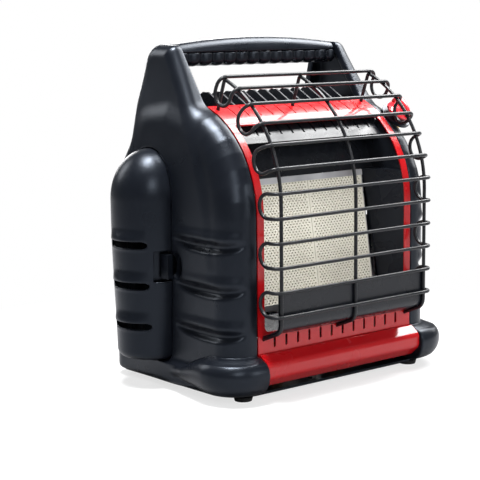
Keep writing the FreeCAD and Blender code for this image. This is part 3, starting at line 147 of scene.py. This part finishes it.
# Tiles
TILE_W = 95.0
TILE_H = 160.0
TILE_T = 13.0
TILE_GAP = 0.8
TILE_LEAN = 9.0
TILE_FOOT_Y = -70.5
TILE_FOOT_Z = 100.0
TILE_BORDER = 3.0
HOLE_PITCH = 5.2
HOLE_ROW = 3.2
HOLE_R = 1.2
HOLE_TAPER = 0.8
HOLE_DEPTH = 3.5
HOLE_SIDES = 8

# Control knob: the disc as radius and height, the blade as place, half thickness and height
KNOB_SEAT = (154.0, -52.0, 325.59)
KNOB_AXIS = (0.0, -0.63433, 0.77306)
KNOB_LIFT = 8.5
KNOB_SIDES = 48
KNOB_DISC = [(4.2, 0), (17.2, 0), (18, 0.8), (18, 2.2), (16.8, 3.4), (12.5, 4.6), (11.2, 7),
             (10.2, 8), (0.01, 8.2)]
BLADE_FOOT = 2.5
BLADE_BEVEL = 1.0
KNOB_BLADE = [(-17, 2.2, 3.5), (-16, 2.6, 11), (-10, 3.0, 15), (0, 3.2, 16.5), (10, 3.0, 17),
              (16.5, 2.6, 16), (17.6, 2.0, 9), (17.8, 2.0, 3.5)]

# Carried-over nodes with crisp edges, and the width of their bevels
ROUND_EDGES = {"front_panel": 0.5, "bumper": 0.8, "top_grille": 0.5, "heat_shield": 0.3,
               "deflector_plate": 0.3, "rear_cover": 0.6, "battery_door": 0.5, "base_pan": 0.6,
               "knob_bezel": 0.6, "fan_rocker": 0.4, "fan_switch_housing": 0.4,
               "left_cover_latch": 0.5, "right_cover_latch": 0.5}
CRISP_ANGLE = 40.0

# Finishes: two colours, two roughnesses, scale and strength of the grain, and what differs
FINISHES = {
    "charcoal_plastic": ((0.0038, 0.0048, 0.0074), (0.0056, 0.0068, 0.0100), (0.27, 0.34),
                         1500, 0.5, {"specular": 0.30, "specular_tint": (0.72, 0.83, 1.0)}),
    "black_plastic": ((0.010, 0.010, 0.012), (0.018, 0.018, 0.020), (0.35, 0.45), 700, 0.1, {}),
    "red_enamel": ((0.40, 0.003, 0.006), (0.47, 0.006, 0.009), (0.22, 0.28), 300, 0.03,
                   {"coat": 0.25, "coat_rough": 0.06, "specular": 0.35}),
    "red_plastic": ((0.50, 0.012, 0.02), (0.58, 0.016, 0.03), (0.25, 0.32), 400, 0.04,
                    {"coat": 0.3}),
    "black_wire": ((0.004, 0.005, 0.007), (0.007, 0.008, 0.011), (0.30, 0.40), 1500, 0.12,
                   {"specular": 0.36}),
    "black_sheet": ((0.006, 0.007, 0.010), (0.010, 0.012, 0.016), (0.22, 0.34), 900, 0.08,
                    {"specular": 0.34}),
    "ceramic_tile": ((0.74, 0.71, 0.60), (0.83, 0.80, 0.69), (0.75, 0.88), 2200, 0.25,
                     {"cloud": 18.0}),
    "plated_steel": ((0.48, 0.48, 0.50), (0.62, 0.62, 0.63), (0.24, 0.40), 500, 0.05,
                     {"metallic": 1.0}),
    "brass": ((0.60, 0.42, 0.16), (0.70, 0.52, 0.22), (0.25, 0.38), 500, 0.05,
              {"metallic": 1.0}),
    "cast_zinc": ((0.42, 0.42, 0.44), (0.52, 0.52, 0.53), (0.42, 0.55), 1400, 0.3,
                  {"metallic": 1.0}),
    "aluminium_tube": ((0.66, 0.66, 0.67), (0.75, 0.75, 0.76), (0.24, 0.36), 500, 0.05,
                       {"metallic": 1.0}),
    "white_ceramic": ((0.78, 0.77, 0.72), (0.86, 0.85, 0.81), (0.18, 0.26), 400, 0.03, {}),
    "rubber": ((0.012, 0.012, 0.013), (0.020, 0.020, 0.021), (0.65, 0.8), 900, 0.3, {}),
}
GRAIN_DEPTH = 0.0002
GLOSS_SPAN = (0.3, 0.7)

# Floor and lamps, in metres and watts
FLOOR_HALF = 6.0
FLOOR_SEEN = (0.85, 0.85, 0.85)
FLOOR_BOUNCE = (0.32, 0.32, 0.33)
GLOW_SPAN = (0.25, 0.6)
GLOW_SHARE = (0.7, 1.0)
SKY_STRENGTH = 0.17
LAMPS = [
    ("overhead", (-0.35, -0.05, 2.3), (0, 0, 0.2), (0.6, 0.6), 120),
    ("top_right", (1.25, -0.05, 1.8), (0, 0, 0.35), (1.1, 1.1), 75),
    ("back", (1.3, 2.3, 0.85), (0, 0, 0.35), (1.8, 0.9), 35),
    ("front_left", (-1.3, -2.3, 1.5), (0, 0, 0.2), (0.7, 0.7), 20),
    ("back_left", (-1.0, 1.9, 1.4), (-0.1, 0, 0.25), (0.7, 1.0), 14),
    ("right_side", (2.0, 0.1, 1.1), (0.1, 0, 0.25), (0.8, 1.2), 12),
    ("front_right", (0.9, -2.4, 0.9), (0, 0, 0.2), (0.9, 0.9), 16),
]

# Camera
CAMERA_AZIMUTH = 40.0
CAMERA_PITCH = 8.65
CAMERA_ROLL = -0.55
CAMERA_PLACE = (-1.221, -1.368, 0.450)
FOCAL_PX = 1430.0
PHOTO_PX = 480.0
SENSOR = 36.0


# Fields: negative inside, in millimetres

def smooth_union(a, b, blend):
    """What lies in either, with a fillet between them."""
    h = np.clip(0.5 + 0.5 * (b - a) / blend, 0, 1)
    return b * (1 - h) + a * h - blend * h * (1 - h)


def smooth_cut(a, b, blend):
    """a with b taken out."""
    return -smooth_union(-a, b, blend)


def round_join(a, b, radius):
    """What lies in both, with a rounded edge."""
    qa, qb = a + radius, b + radius
    outside = np.sqrt(np.maximum(qa, 0) ** 2 + np.maximum(qb, 0) ** 2)
    return outside + np.minimum(np.maximum(qa, qb), 0) - radius


def ramp(value, low, high):
    """0 below low, 1 above high and smooth between."""
    t = np.clip((value - low) / (high - low), 0, 1)
    return t * t * (3 - 2 * t)


def ellipsoid(x, y, z, centre, radii):
    k = np.sqrt(((x - centre[0]) / radii[0]) ** 2 + ((y - centre[1]) / radii[1]) ** 2
                + ((z - centre[2]) / radii[2]) ** 2)
    return (k - 1) * min(radii)


def outline(corners, steps=8):
    """Points of a closed outline whose corners have radii."""
    points = []
    count = len(corners)
    for i, (u, v, r) in enumerate(corners):
        here = np.array((u, v), float)
        before = np.array(corners[i - 1][:2], float) - here
        after = np.array(corners[(i + 1) % count][:2], float) - here
        before /= np.linalg.norm(before)
        after /= np.linalg.norm(after)
        half = math.acos(float(np.clip(before @ after, -1, 1))) / 2
        if r == 0:
            points.append(here)
            continue
        middle = (before + after) / np.linalg.norm(before + after)
        centre = here + middle * r / math.sin(half)
        first = here + before * r / math.tan(half) - centre
        last = here + after * r / math.tan(half) - centre
        start = math.atan2(first[1], first[0])
        turn = math.atan2(last[1], last[0]) - start
        turn = (turn + math.pi) % (2 * math.pi) - math.pi
        for k in range(steps + 1):
            angle = start + turn * k / steps
            points.append(centre + r * np.array((math.cos(angle), math.sin(angle))))
    return np.array(points)


def polygon_field(u, v, points):
    """Signed distance to a closed outline, on a broadcast pair of coordinates."""
    u, v = np.broadcast_arrays(u, v)
    nearest = np.full(u.shape, 1e9)
    inside = np.zeros(u.shape, bool)
    for a, b in zip(points, np.roll(points, -1, axis=0)):
        du, dv = b - a
        square = du * du + dv * dv
        if square < 1e-12:
            continue
        t = np.clip(((u - a[0]) * du + (v - a[1]) * dv) / square, 0, 1)
        nearest = np.minimum(nearest, (u - a[0] - t * du) ** 2 + (v - a[1] - t * dv) ** 2)
        crosses = (a[1] > v) != (b[1] > v)
        if abs(dv) > 1e-12:
            inside ^= crosses & (u < du * (v - a[1]) / dv + a[0])
    return np.where(inside, -1, 1) * np.sqrt(nearest)


def net_mesh(name, field, grid, mirror=False):
    """A mesh of the surface where a field is zero, one point for each cell that it crosses."""
    low, high, step = grid
    axes = [np.arange(a, b + step, step) for a, b in zip(low, high)]
    values = field(*np.meshgrid(*axes, indexing="ij", sparse=True))
    values = np.broadcast_to(values, [len(a) for a in axes])
    inside = values < 0
    cells = tuple(n - 1 for n in values.shape)
    total = np.zeros(cells + (3,), np.float32)
    count = np.zeros(cells, np.float32)
    crossings = []
    for axis in range(3):
        first = [slice(None)] * 3
        second = [slice(None)] * 3
        first[axis], second[axis] = slice(None, -1), slice(1, None)
        v0, v1 = values[tuple(first)], values[tuple(second)]
        cross = inside[tuple(first)] != inside[tuple(second)]
        share = np.where(cross, v0 / np.where(cross, v0 - v1, 1), 0)
        crossings.append((cross, inside[tuple(first)]))
        p, q = (axis + 1) % 3, (axis + 2) % 3
        for dp in (0, 1):
            for dq in (0, 1):
                part = [slice(None)] * 3
                part[p] = slice(dp, dp + cells[p])
                part[q] = slice(dq, dq + cells[q])
                hit = cross[tuple(part)]
                count += hit
                total[..., axis] += np.where(hit, share[tuple(part)], 0)
                total[..., p] += hit * dp
                total[..., q] += hit * dq
    active = count > 0
    ids = np.full(cells, -1)
    ids[active] = np.arange(int(active.sum()))
    spots = np.argwhere(active) + total[active] / count[active][:, None]
    points = (spots * step + np.array(low)) * MM
    faces = []
    for axis in range(3):
        cross, starts_inside = crossings[axis]
        p, q = (axis + 1) % 3, (axis + 2) % 3
        where = np.argwhere(cross)
        keep = (where[:, p] > 0) & (where[:, q] > 0)
        keep &= (where[:, p] < cells[p]) & (where[:, q] < cells[q])
        where = where[keep]
        flip = starts_inside[tuple(where.T)]
        ring = []
        for dp, dq in ((-1, -1), (0, -1), (0, 0), (-1, 0)):
            cell = where.copy()
            cell[:, p] += dp
            cell[:, q] += dq
            ring.append(ids[tuple(cell.T)])
        quads = np.stack(ring, axis=1)
        quads[~flip] = quads[~flip][:, ::-1]
        faces.append(quads)
    faces = np.concatenate(faces)
    if mirror:
        points = points * np.array((-1, 1, 1))
        faces = faces[:, ::-1]
    piece = mesh_piece(name, points.tolist(), faces.tolist())
    soften = piece.modifiers.new("soften", "SMOOTH")
    soften.factor = SOFTEN_SHARE
    soften.iterations = SOFTEN_PASSES
    return piece


def mesh_piece(name, points, faces):
    mesh = bpy.data.meshes.new(name)
    mesh.from_pydata(points, [], faces)
    mesh.validate()
    mesh.shade_smooth()
    piece = bpy.data.objects.new(name, mesh)
    bpy.context.scene.collection.objects.link(piece)
    return piece


# Materials

def new_group(name, inputs, outputs):
    """An empty node group with float or colour inputs and outputs."""
    group = bpy.data.node_groups.new(name, "ShaderNodeTree")
    for label, kind, value in inputs:
        item = group.interface.new_socket(label, in_out="INPUT", socket_type=kind)
        item.default_value = value
    for label, kind in outputs:
        group.interface.new_socket(label, in_out="OUTPUT", socket_type=kind)
    return group, group.nodes.new("NodeGroupInput"), group.nodes.new("NodeGroupOutput")


def grain_group():
    """Fine moulded grain as a height, and a slow drift over the surface."""
    group, given, result = new_group(
        "moulded_grain",
        [("Grain Scale", "NodeSocketFloat", 900.0), ("Cloud Scale", "NodeSocketFloat", 30.0)],
        [("Height", "NodeSocketFloat"), ("Cloud", "NodeSocketFloat")])
    links = group.links
    place = group.nodes.new("ShaderNodeTexCoord")
    fine = group.nodes.new("ShaderNodeTexNoise")
    fine.inputs["Detail"].default_value = 3.0
    cloud = group.nodes.new("ShaderNodeTexNoise")
    cloud.inputs["Detail"].default_value = 2.0
    links.new(place.outputs["Object"], fine.inputs["Vector"])
    links.new(place.outputs["Object"], cloud.inputs["Vector"])
    links.new(given.outputs["Grain Scale"], fine.inputs["Scale"])
    links.new(given.outputs["Cloud Scale"], cloud.inputs["Scale"])
    links.new(fine.outputs["Fac"], result.inputs["Height"])
    links.new(cloud.outputs["Fac"], result.inputs["Cloud"])
    return group


GRAIN = grain_group()


def set_spans(map_range, source, target):
    map_range.inputs["From Min"].default_value = source[0]
    map_range.inputs["From Max"].default_value = source[1]
    map_range.inputs["To Min"].default_value = target[0]
    map_range.inputs["To Max"].default_value = target[1]


def finish_material(name, dark, light, rough, grain, bump, cloud=30.0, metallic=0.0,
                    coat=0.0, coat_rough=0.1, specular=0.5, specular_tint=(1, 1, 1)):
    """A finish whose colour and roughness drift between two values over its surface."""
    material = bpy.data.materials.new(name)
    material.use_nodes = True
    nodes, links = material.node_tree.nodes, material.node_tree.links
    shader = nodes["Principled BSDF"]
    shader.inputs["Metallic"].default_value = metallic
    shader.inputs["Coat Weight"].default_value = coat
    shader.inputs["Coat Roughness"].default_value = coat_rough
    shader.inputs["Specular IOR Level"].default_value = specular
    shader.inputs["Specular Tint"].default_value = (*specular_tint, 1)
    texture = nodes.new("ShaderNodeGroup")
    texture.node_tree = GRAIN
    texture.inputs["Grain Scale"].default_value = grain
    texture.inputs["Cloud Scale"].default_value = cloud
    tint = nodes.new("ShaderNodeMix")
    tint.data_type = "RGBA"
    tint.inputs["A"].default_value = (*dark, 1)
    tint.inputs["B"].default_value = (*light, 1)
    links.new(texture.outputs["Cloud"], tint.inputs["Factor"])
    links.new(tint.outputs["Result"], shader.inputs["Base Color"])
    gloss = nodes.new("ShaderNodeMapRange")
    set_spans(gloss, GLOSS_SPAN, rough)
    links.new(texture.outputs["Cloud"], gloss.inputs["Value"])
    links.new(gloss.outputs["Result"], shader.inputs["Roughness"])
    relief = nodes.new("ShaderNodeBump")
    relief.inputs["Strength"].default_value = bump
    relief.inputs["Distance"].default_value = GRAIN_DEPTH
    links.new(texture.outputs["Height"], relief.inputs["Height"])
    links.new(relief.outputs["Normal"], shader.inputs["Normal"])
    return material


def make_materials():
    materials = {}
    for name, (dark, light, rough, grain, bump, others) in FINISHES.items():
        materials[name] = finish_material(name, dark, light, rough, grain, bump, **others)
    return materials


def dress(piece, slot_name, body, replaced):
    """Gives a drawn piece its finish and its body, in place of a node."""
    piece.data.materials.append(MATERIALS[slot_name])
    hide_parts(replaced)
    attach(piece, body)


# Moulded side shells

def body_outline():
    """The body from the side, without the handle posts."""
    return outline([(PANEL_Y, BELOW_FLOOR, 4), (PANEL_Y, 315.5, 134), (-9, 349, 10),
                    (30, 361, 30), (101, 352, 40), (107, 312, 40), (REAR_Y, 262, 40),
                    (REAR_Y, BELOW_FLOOR, 4)])


def post_outline():
    """The handle post from the side, running down into the wall behind the shoulder."""
    return outline([(-74, 140, 20), (-64, 225, 60), (-42, 292, 60), (-8, 349, 30), (40, 423, 12),
                    (88, 425, 22), (105, 352, 60), (108, 305, 40), (132, 262, 20), (132, 140, 20)])


def post_half_width(z):
    return BODY_HALF_W - POST_IN * ramp(z, *POST_RISE)


def cover_field(a, y, z, grow=0.0):
    """Bullet form of a cover, which narrows a little towards its foot."""
    radius = COVER_R + grow - COVER_FOOT_IN * (1 - ramp(z, 30, 215))
    across = (y - COVER_Y) * COVER_R / COVER_HALF_D
    rise = np.maximum(z - COVER_SPRING_Z, 0) * radius / (COVER_DOME_H + grow)
    dome = np.sqrt((a - COVER_X) ** 2 + across ** 2 + rise ** 2) - radius
    return round_join(dome, COVER_LOW - grow - z, COVER_EDGE_R)


def along_side(a, y):
    """Distance forward from the cover, followed round the front corner."""
    return -y + np.maximum(BODY_HALF_W - a, 0) * CORNER_SHARE


def groove_depth(a, y, z, middle):
    """How far a finger groove sinks, with a low hood over it."""
    share = (along_side(a, y) - GROOVE_MIDDLE) / GROOVE_REACH
    reach = np.sqrt(np.maximum(1 - share ** 2, 0))
    lip = -GROOVE_LIP_DROP * reach
    height = z - middle
    floor = np.clip((height - lip) / GROOVE_FLOOR_H, 0, 1)
    ceiling = 1 - ramp(height, *GROOVE_CEILING)
    sink = GROOVE_DEPTH * reach * floor * floor * (3 - 2 * floor) * ceiling
    hood = GROOVE_HOOD * reach * ramp(height, 0, 9) * (1 - ramp(height, 9, 21))
    return sink - hood


def foot_bulge(a, y, z):
    """How far the foot of the side swells, tapering to a tip under the cover."""
    along = along_side(a, y)
    grow = ramp(along, FOOT_TIP, FOOT_FULL)
    middle = FOOT_TIP_Z + FOOT_RISE * grow
    half = FOOT_TIP_H + FOOT_H * grow
    height = (z - middle) / half
    out = np.sqrt(np.maximum(1 - np.maximum(height, -height * 0.75) ** 2, 0))
    return out * (FOOT_TIP_OUT + FOOT_OUT * grow) * ramp(along, FOOT_TIP, 20)


def shell_body(a, y, z):
    """Outside form of one side shell, where a is the distance from the middle plane."""
    shoulder = a - BODY_HALF_W + SHOULDER_IN * ramp(z, *SHOULDER_RISE)
    wall = polygon_field(y, z, body_outline())
    body = round_join(wall, shoulder, SHOULDER_EDGE_R)
    post = round_join(polygon_field(y, z, post_outline()), a - post_half_width(z), POST_EDGE_R)
    form = smooth_union(body, post, POST_BLEND)
    spread = BASE_OUT * ramp(y, -60, 5)
    base_side = a - BODY_HALF_W - spread + BASE_REAR_IN * ramp(y, 10, 112)
    base = np.maximum(round_join(wall, base_side, BASE_EDGE_R), z - BASE_TOP)
    return round_join(smooth_union(form, base, BASE_BLEND), SHELL_LOW - z, BASE_FOOT_R)


def shell_field(a, y, z):
    """One side shell, hollow, grooved and cut out for the cylinder cover."""
    form = shell_body(a, y, z)
    outside = form - foot_bulge(a, y, z)
    for middle in GROOVE_HEIGHTS:
        outside = outside + groove_depth(a, y, z, middle)
    outside = smooth_cut(outside, ellipsoid(a, y, z, SCOOP_MIDDLE, SCOOP_RADII), 1.0)
    outside = np.maximum(outside, -cover_field(a, y, z, COVER_SEAM))
    hollow = form + SHELL_WALL + GROOVE_ALLOWANCE
    return np.maximum(np.maximum(outside, -hollow), SEAM_X + SEAM_GAP - a)


def make_shells():
    for side in ("left", "right"):
        shell = net_mesh(side + "_shell", shell_field, SHELL_GRID, side == "left")
        dress(shell, "charcoal_plastic", "cabinet", side + "_side_shell")


# Cylinder covers

def vent_hoods(a, y, z):
    """How far the hoods over a cover's three slots stand out."""
    swing = (y - VENT_Y) / VENT_HALF_W
    reach = np.sqrt(np.maximum(1 - swing ** 2, 0))
    total = 0.0
    for i in range(VENT_COUNT):
        height = z - VENT_LOW_Z - i * VENT_PITCH - VENT_H
        hood = ramp(height, -2.5, 0.5) * (1 - ramp(height, 1, 16))
        below = height + VENT_H
        lip = ramp(below, -5, -1) * (1 - ramp(below, -1, 1.5))
        total = total + HOOD_OUT * reach * hood + LIP_OUT * reach * lip
    return total


def vent_slots(a, y, z):
    """The openings under the hoods, with round ends."""
    nearest = 1e3
    for i in range(VENT_COUNT):
        middle = VENT_LOW_Z + i * VENT_PITCH + VENT_H / 2
        along = np.maximum(np.abs(y - VENT_Y) - VENT_HALF_W + VENT_END, 0)
        slot = np.sqrt(along ** 2 + (z - middle) ** 2) - VENT_H / 2
        nearest = np.minimum(nearest, slot)
    return np.maximum(nearest, VENT_INNER_X - a)


def recess_block(y, z, grow=0.0):
    """The latch recess from the side, grown all round."""
    upright = np.abs(z - LATCH_Z) - LATCH_H / 2 - RECESS_MARGIN - grow
    return np.maximum(upright, y - RECESS_BACK_Y - grow)


def tank_cover_field(a, y, z):
    """One cover skin with its hooded vents and the recess round its latch."""
    form = cover_field(a, y, z)
    outside = form - vent_hoods(a, y, z)
    hollow = form + COVER_WALL + 0.6
    shell = np.maximum(outside, -hollow)
    shell = smooth_cut(shell, vent_slots(a, y, z), 0.6)
    recess = np.maximum(recess_block(y, z), -form - RECESS_DEPTH)
    recess = np.maximum(recess, a - RECESS_OUTER_X)
    shell = np.maximum(shell, -recess)
    floor = np.maximum(recess_block(y, z, RECESS_LAP), form + RECESS_DEPTH)
    floor = np.maximum(floor, -form - RECESS_DEPTH - RECESS_FLOOR_T)
    shell = np.minimum(shell, floor)
    rim = COVER_FACE_X - 4.5 * (1 - ramp(y, 80, 96)) - 1.5 * ramp(z, 36, 44)
    return np.maximum(shell, rim - a)


def make_covers():
    for side in ("left", "right"):
        cover = net_mesh(side + "_cover_skin", tank_cover_field, COVER_GRID, side == "left")
        dress(cover, "charcoal_plastic", side + "_cover", side + "_tank_cover")


# Handle

def handle_form(x, y, z):
    """The whole handle before it is split, arched along its top."""
    crown = HANDLE_TOP - (HANDLE_TOP - HANDLE_END_Z) * (x / SEAM_X) ** 2
    section = round_join(np.abs(y - HANDLE_Y) - HANDLE_HALF_D, z - crown, HANDLE_TOP_R)
    return round_join(section, HANDLE_LOW - z, HANDLE_LOW_R)


def grip_field(x, y, z):
    """The lower half of the handle with its finger ribs."""
    form = handle_form(x, y, z)
    near = np.abs(((x / RIB_PITCH + 0.5) % 1) - 0.5) * RIB_PITCH
    groove = np.clip(1 - np.abs(near - RIB_PITCH / 2) / (RIB_PITCH / 2), 0, 1)
    ribs = RIB_DEPTH * (1 - np.sqrt(groove * (2 - groove)))
    form = form + ribs * (np.abs(x) < RIB_REACH * RIB_PITCH)
    return np.maximum(np.maximum(form, z - HANDLE_SPLIT), np.abs(x) - SEAM_X + HANDLE_GAP)


def handle_top_field(x, y, z):
    form = round_join(handle_form(x, y, z), HANDLE_SPLIT + HANDLE_GAP - z, HANDLE_SPLIT_R)
    return np.maximum(form, np.abs(x) - SEAM_X + HANDLE_GAP)


def make_handle():
    for name, field, node in (("handle_ribbed_grip", grip_field, "handle_grip"),
                              ("handle_top", handle_top_field, "handle_upper")):
        dress(net_mesh(name, field, HANDLE_GRID), "charcoal_plastic", "cabinet", node)


# Burner tiles

def hole_cell(points, faces, x, z, half_x, half_z, shift):
    """One rectangle of a tile's face with a round hole sunk beside its middle."""
    base, count = len(points), HOLE_SIDES
    corners = [(half_x, 0), (half_x, half_z), (0, half_z), (-half_x, half_z), (-half_x, 0),
               (-half_x, -half_z), (0, -half_z), (half_x, -half_z)]
    for dx, dz in corners:
        points.append((x + dx, 0, z + dz))
    for depth, radius in ((0, HOLE_R), (HOLE_DEPTH, HOLE_R * HOLE_TAPER)):
        for k in range(count):
            angle = 2 * math.pi * k / count
            points.append((x + shift + radius * math.cos(angle), depth,
                           z + radius * math.sin(angle)))
    rim, bottom = base + count, base + 2 * count
    for k in range(count):
        n = (k + 1) % count
        faces.append((base + n, base + k, rim + k, rim + n))
        faces.append((rim + n, rim + k, bottom + k, bottom + n))
    faces.append(tuple(bottom + k for k in reversed(range(count))))


def lean_tile(points):
    """Leans points drawn upright and moves them to the burner's place, in metres."""
    lean = math.radians(TILE_LEAN)
    moved = []
    for x, y, z in points:
        moved.append((x * MM, (TILE_FOOT_Y + y * math.cos(lean) + z * math.sin(lean)) * MM,
                      (TILE_FOOT_Z - y * math.sin(lean) + z * math.cos(lean)) * MM))
    return moved


def make_tile(side):
    points, faces = [], []
    x0, x1 = TILE_GAP / 2, TILE_W
    inner_w, inner_h = x1 - x0 - 2 * TILE_BORDER, TILE_H - 2 * TILE_BORDER
    columns, rows = int(inner_w / HOLE_PITCH), int(inner_h / HOLE_ROW)
    half_x, half_z = inner_w / columns / 2, inner_h / rows / 2
    for row in range(rows):
        shift = (row % 2 - 0.5) * half_x
        for column in range(columns):
            x = x0 + TILE_BORDER + (2 * column + 1) * half_x
            z = TILE_BORDER + (2 * row + 1) * half_z
            hole_cell(points, faces, x, z, half_x, half_z, shift)
    base = len(points)
    left, right = x0 + TILE_BORDER, x1 - TILE_BORDER
    low, high = TILE_BORDER, TILE_H - TILE_BORDER
    rim = [(x0, 0, 0), (x1, 0, 0), (x1, 0, TILE_H), (x0, 0, TILE_H)]
    points += rim
    points += [(left, 0, low), (right, 0, low), (right, 0, high), (left, 0, high)]
    points += [(x, TILE_T, z) for x, _, z in rim]
    for k in range(4):
        n = (k + 1) % 4
        faces.append((base + k, base + n, base + 4 + n, base + 4 + k))
        faces.append((base + n, base + k, base + 8 + k, base + 8 + n))
    faces.append((base + 8, base + 11, base + 10, base + 9))
    if side == "left":
        points = [(-x, y, z) for x, y, z in points]
        faces = [face[::-1] for face in faces]
    tile = mesh_piece(side + "_burner_tile", lean_tile(points), faces)
    tile.data.shade_flat()
    dress(tile, "ceramic_tile", "cabinet", side + "_tile")


# Control knob

def knob_point(along, across, out):
    """A point on the knob: along its pointer, across it and out from the body, in metres."""
    lean = math.atan2(-KNOB_AXIS[1], KNOB_AXIS[2])
    y = KNOB_SEAT[1] + along * math.cos(lean) - (KNOB_LIFT + out) * math.sin(lean)
    z = KNOB_SEAT[2] + along * math.sin(lean) + (KNOB_LIFT + out) * math.cos(lean)
    return (KNOB_SEAT[0] + across) * MM, y * MM, z * MM


def make_knob():
    """A shallow flared disc with a tall pointer blade that narrows towards its top."""
    points, faces = [], []
    count = KNOB_SIDES
    for radius, out in KNOB_DISC:
        for k in range(count):
            angle = 2 * math.pi * k / count
            points.append(knob_point(radius * math.cos(angle), radius * math.sin(angle), out))
    for ring in range(len(KNOB_DISC) - 1):
        here, above = ring * count, (ring + 1) * count
        for k in range(count):
            n = (k + 1) % count
            faces.append((here + k, here + n, above + n, above + k))
    base = len(points)
    for along, half, top in KNOB_BLADE:
        side, crest = top - BLADE_BEVEL, half - BLADE_BEVEL
        for across, out in ((-half, BLADE_FOOT), (-half, side), (-crest, top), (crest, top),
                            (half, side), (half, BLADE_FOOT)):
            points.append(knob_point(along, across, out))
    for i in range(len(KNOB_BLADE) - 1):
        here, after = base + 6 * i, base + 6 * (i + 1)
        for k in range(6):
            n = (k + 1) % 6
            faces.append((here + n, here + k, after + k, after + n))
    faces.append(tuple(range(base, base + 6)))
    faces.append(tuple(reversed(range(len(points) - 6, len(points)))))
    knob = mesh_piece("pointer_knob", points, faces)
    dress(knob, "red_plastic", "knob", "control_knob")


# Carried-over pieces

def dress_nodes():
    """Gives every node its finish, and a small bevel where it has crisp edges."""
    slots = {entry["node"]: entry["material_slot"] for entry in frame["record"]["subparts"]}
    for name, node in NODES.items():
        node.data.materials.clear()
        node.data.materials.append(MATERIALS[slots[name]])
        if name in ROUND_EDGES:
            bevel = node.modifiers.new("edge", "BEVEL")
            bevel.width = ROUND_EDGES[name] * MM
            bevel.segments = 2
            bevel.angle_limit = math.radians(CRISP_ANGLE)


# Stage, lights and camera

def make_floor():
    """A floor that keeps the shadow near the object and turns white further out."""
    half = FLOOR_HALF
    floor = mesh_piece("floor", [(-half, -half, 0), (half, -half, 0), (half, half, 0),
                                 (-half, half, 0)], [(0, 1, 2, 3)])
    material = bpy.data.materials.new("floor_white")
    material.use_nodes = True
    nodes, links = material.node_tree.nodes, material.node_tree.links
    shader = nodes["Principled BSDF"]
    shader.inputs["Roughness"].default_value = 0.9
    path = nodes.new("ShaderNodeLightPath")
    paint = nodes.new("ShaderNodeMix")
    paint.data_type = "RGBA"
    paint.inputs["A"].default_value = (*FLOOR_BOUNCE, 1)
    paint.inputs["B"].default_value = (*FLOOR_SEEN, 1)
    links.new(path.outputs["Is Camera Ray"], paint.inputs["Factor"])
    links.new(paint.outputs["Result"], shader.inputs["Base Color"])
    place = nodes.new("ShaderNodeTexCoord")
    reach = nodes.new("ShaderNodeVectorMath")
    reach.operation = "LENGTH"
    links.new(place.outputs["Object"], reach.inputs[0])
    fade = nodes.new("ShaderNodeMapRange")
    set_spans(fade, GLOW_SPAN, GLOW_SHARE)
    links.new(reach.outputs["Value"], fade.inputs["Value"])
    share = nodes.new("ShaderNodeMath")
    share.operation = "MULTIPLY"
    links.new(path.outputs["Is Camera Ray"], share.inputs[0])
    links.new(fade.outputs["Result"], share.inputs[1])
    glow = nodes.new("ShaderNodeEmission")
    glow.inputs["Color"].default_value = (1, 1, 1, 1)
    blend = nodes.new("ShaderNodeMixShader")
    links.new(share.outputs["Value"], blend.inputs["Fac"])
    links.new(shader.outputs["BSDF"], blend.inputs[1])
    links.new(glow.outputs["Emission"], blend.inputs[2])
    links.new(blend.outputs["Shader"], nodes["Material Output"].inputs["Surface"])
    floor.data.materials.append(material)


def make_world():
    """A soft sky for the object, and plain white where the camera looks past it."""
    world = bpy.data.worlds.new("studio")
    world.use_nodes = True
    nodes, links = world.node_tree.nodes, world.node_tree.links
    soft = nodes["Background"]
    soft.inputs["Color"].default_value = (0.95, 0.97, 1.0, 1)
    soft.inputs["Strength"].default_value = SKY_STRENGTH
    white = nodes.new("ShaderNodeBackground")
    white.inputs["Color"].default_value = (1, 1, 1, 1)
    path = nodes.new("ShaderNodeLightPath")
    blend = nodes.new("ShaderNodeMixShader")
    links.new(path.outputs["Is Camera Ray"], blend.inputs["Fac"])
    links.new(soft.outputs["Background"], blend.inputs[1])
    links.new(white.outputs["Background"], blend.inputs[2])
    links.new(blend.outputs["Shader"], nodes["World Output"].inputs["Surface"])
    bpy.context.scene.world = world


def add_lamp(name, place, aim, size, watts):
    lamp = bpy.data.lights.new(name, "AREA")
    lamp.shape = "RECTANGLE"
    lamp.size, lamp.size_y = size
    lamp.energy = watts
    holder = bpy.data.objects.new(name, lamp)
    holder.location = place
    holder.rotation_euler = (Vector(aim) - Vector(place)).to_track_quat("-Z", "Y").to_euler()
    bpy.context.scene.collection.objects.link(holder)


def make_camera():
    lens = bpy.data.cameras.new("photo_camera")
    lens.sensor_width = SENSOR
    lens.lens = FOCAL_PX / PHOTO_PX * SENSOR
    camera = bpy.data.objects.new("photo_camera", lens)
    azimuth, pitch = math.radians(CAMERA_AZIMUTH), math.radians(CAMERA_PITCH)
    roll = math.radians(CAMERA_ROLL)
    forward = Vector((math.sin(azimuth) * math.cos(pitch), math.cos(azimuth) * math.cos(pitch),
                      -math.sin(pitch)))
    right = Vector((math.cos(azimuth), -math.sin(azimuth), 0))
    up = right.cross(forward)
    turned_right = right * math.cos(roll) + up * math.sin(roll)
    turned_up = up * math.cos(roll) - right * math.sin(roll)
    turn = Matrix((turned_right, turned_up, -forward)).transposed().to_4x4()
    camera.matrix_world = Matrix.Translation(CAMERA_PLACE) @ turn
    bpy.context.scene.collection.objects.link(camera)
    bpy.context.scene.camera = camera


MATERIALS = make_materials()
make_camera()
make_world()
for lamp_values in LAMPS:
    add_lamp(*lamp_values)
make_floor()
dress_nodes()
make_shells()
make_covers()
make_handle()
make_tile("left")
make_tile("right")
make_knob()

bpy.context.scene.view_settings.view_transform = "Standard"
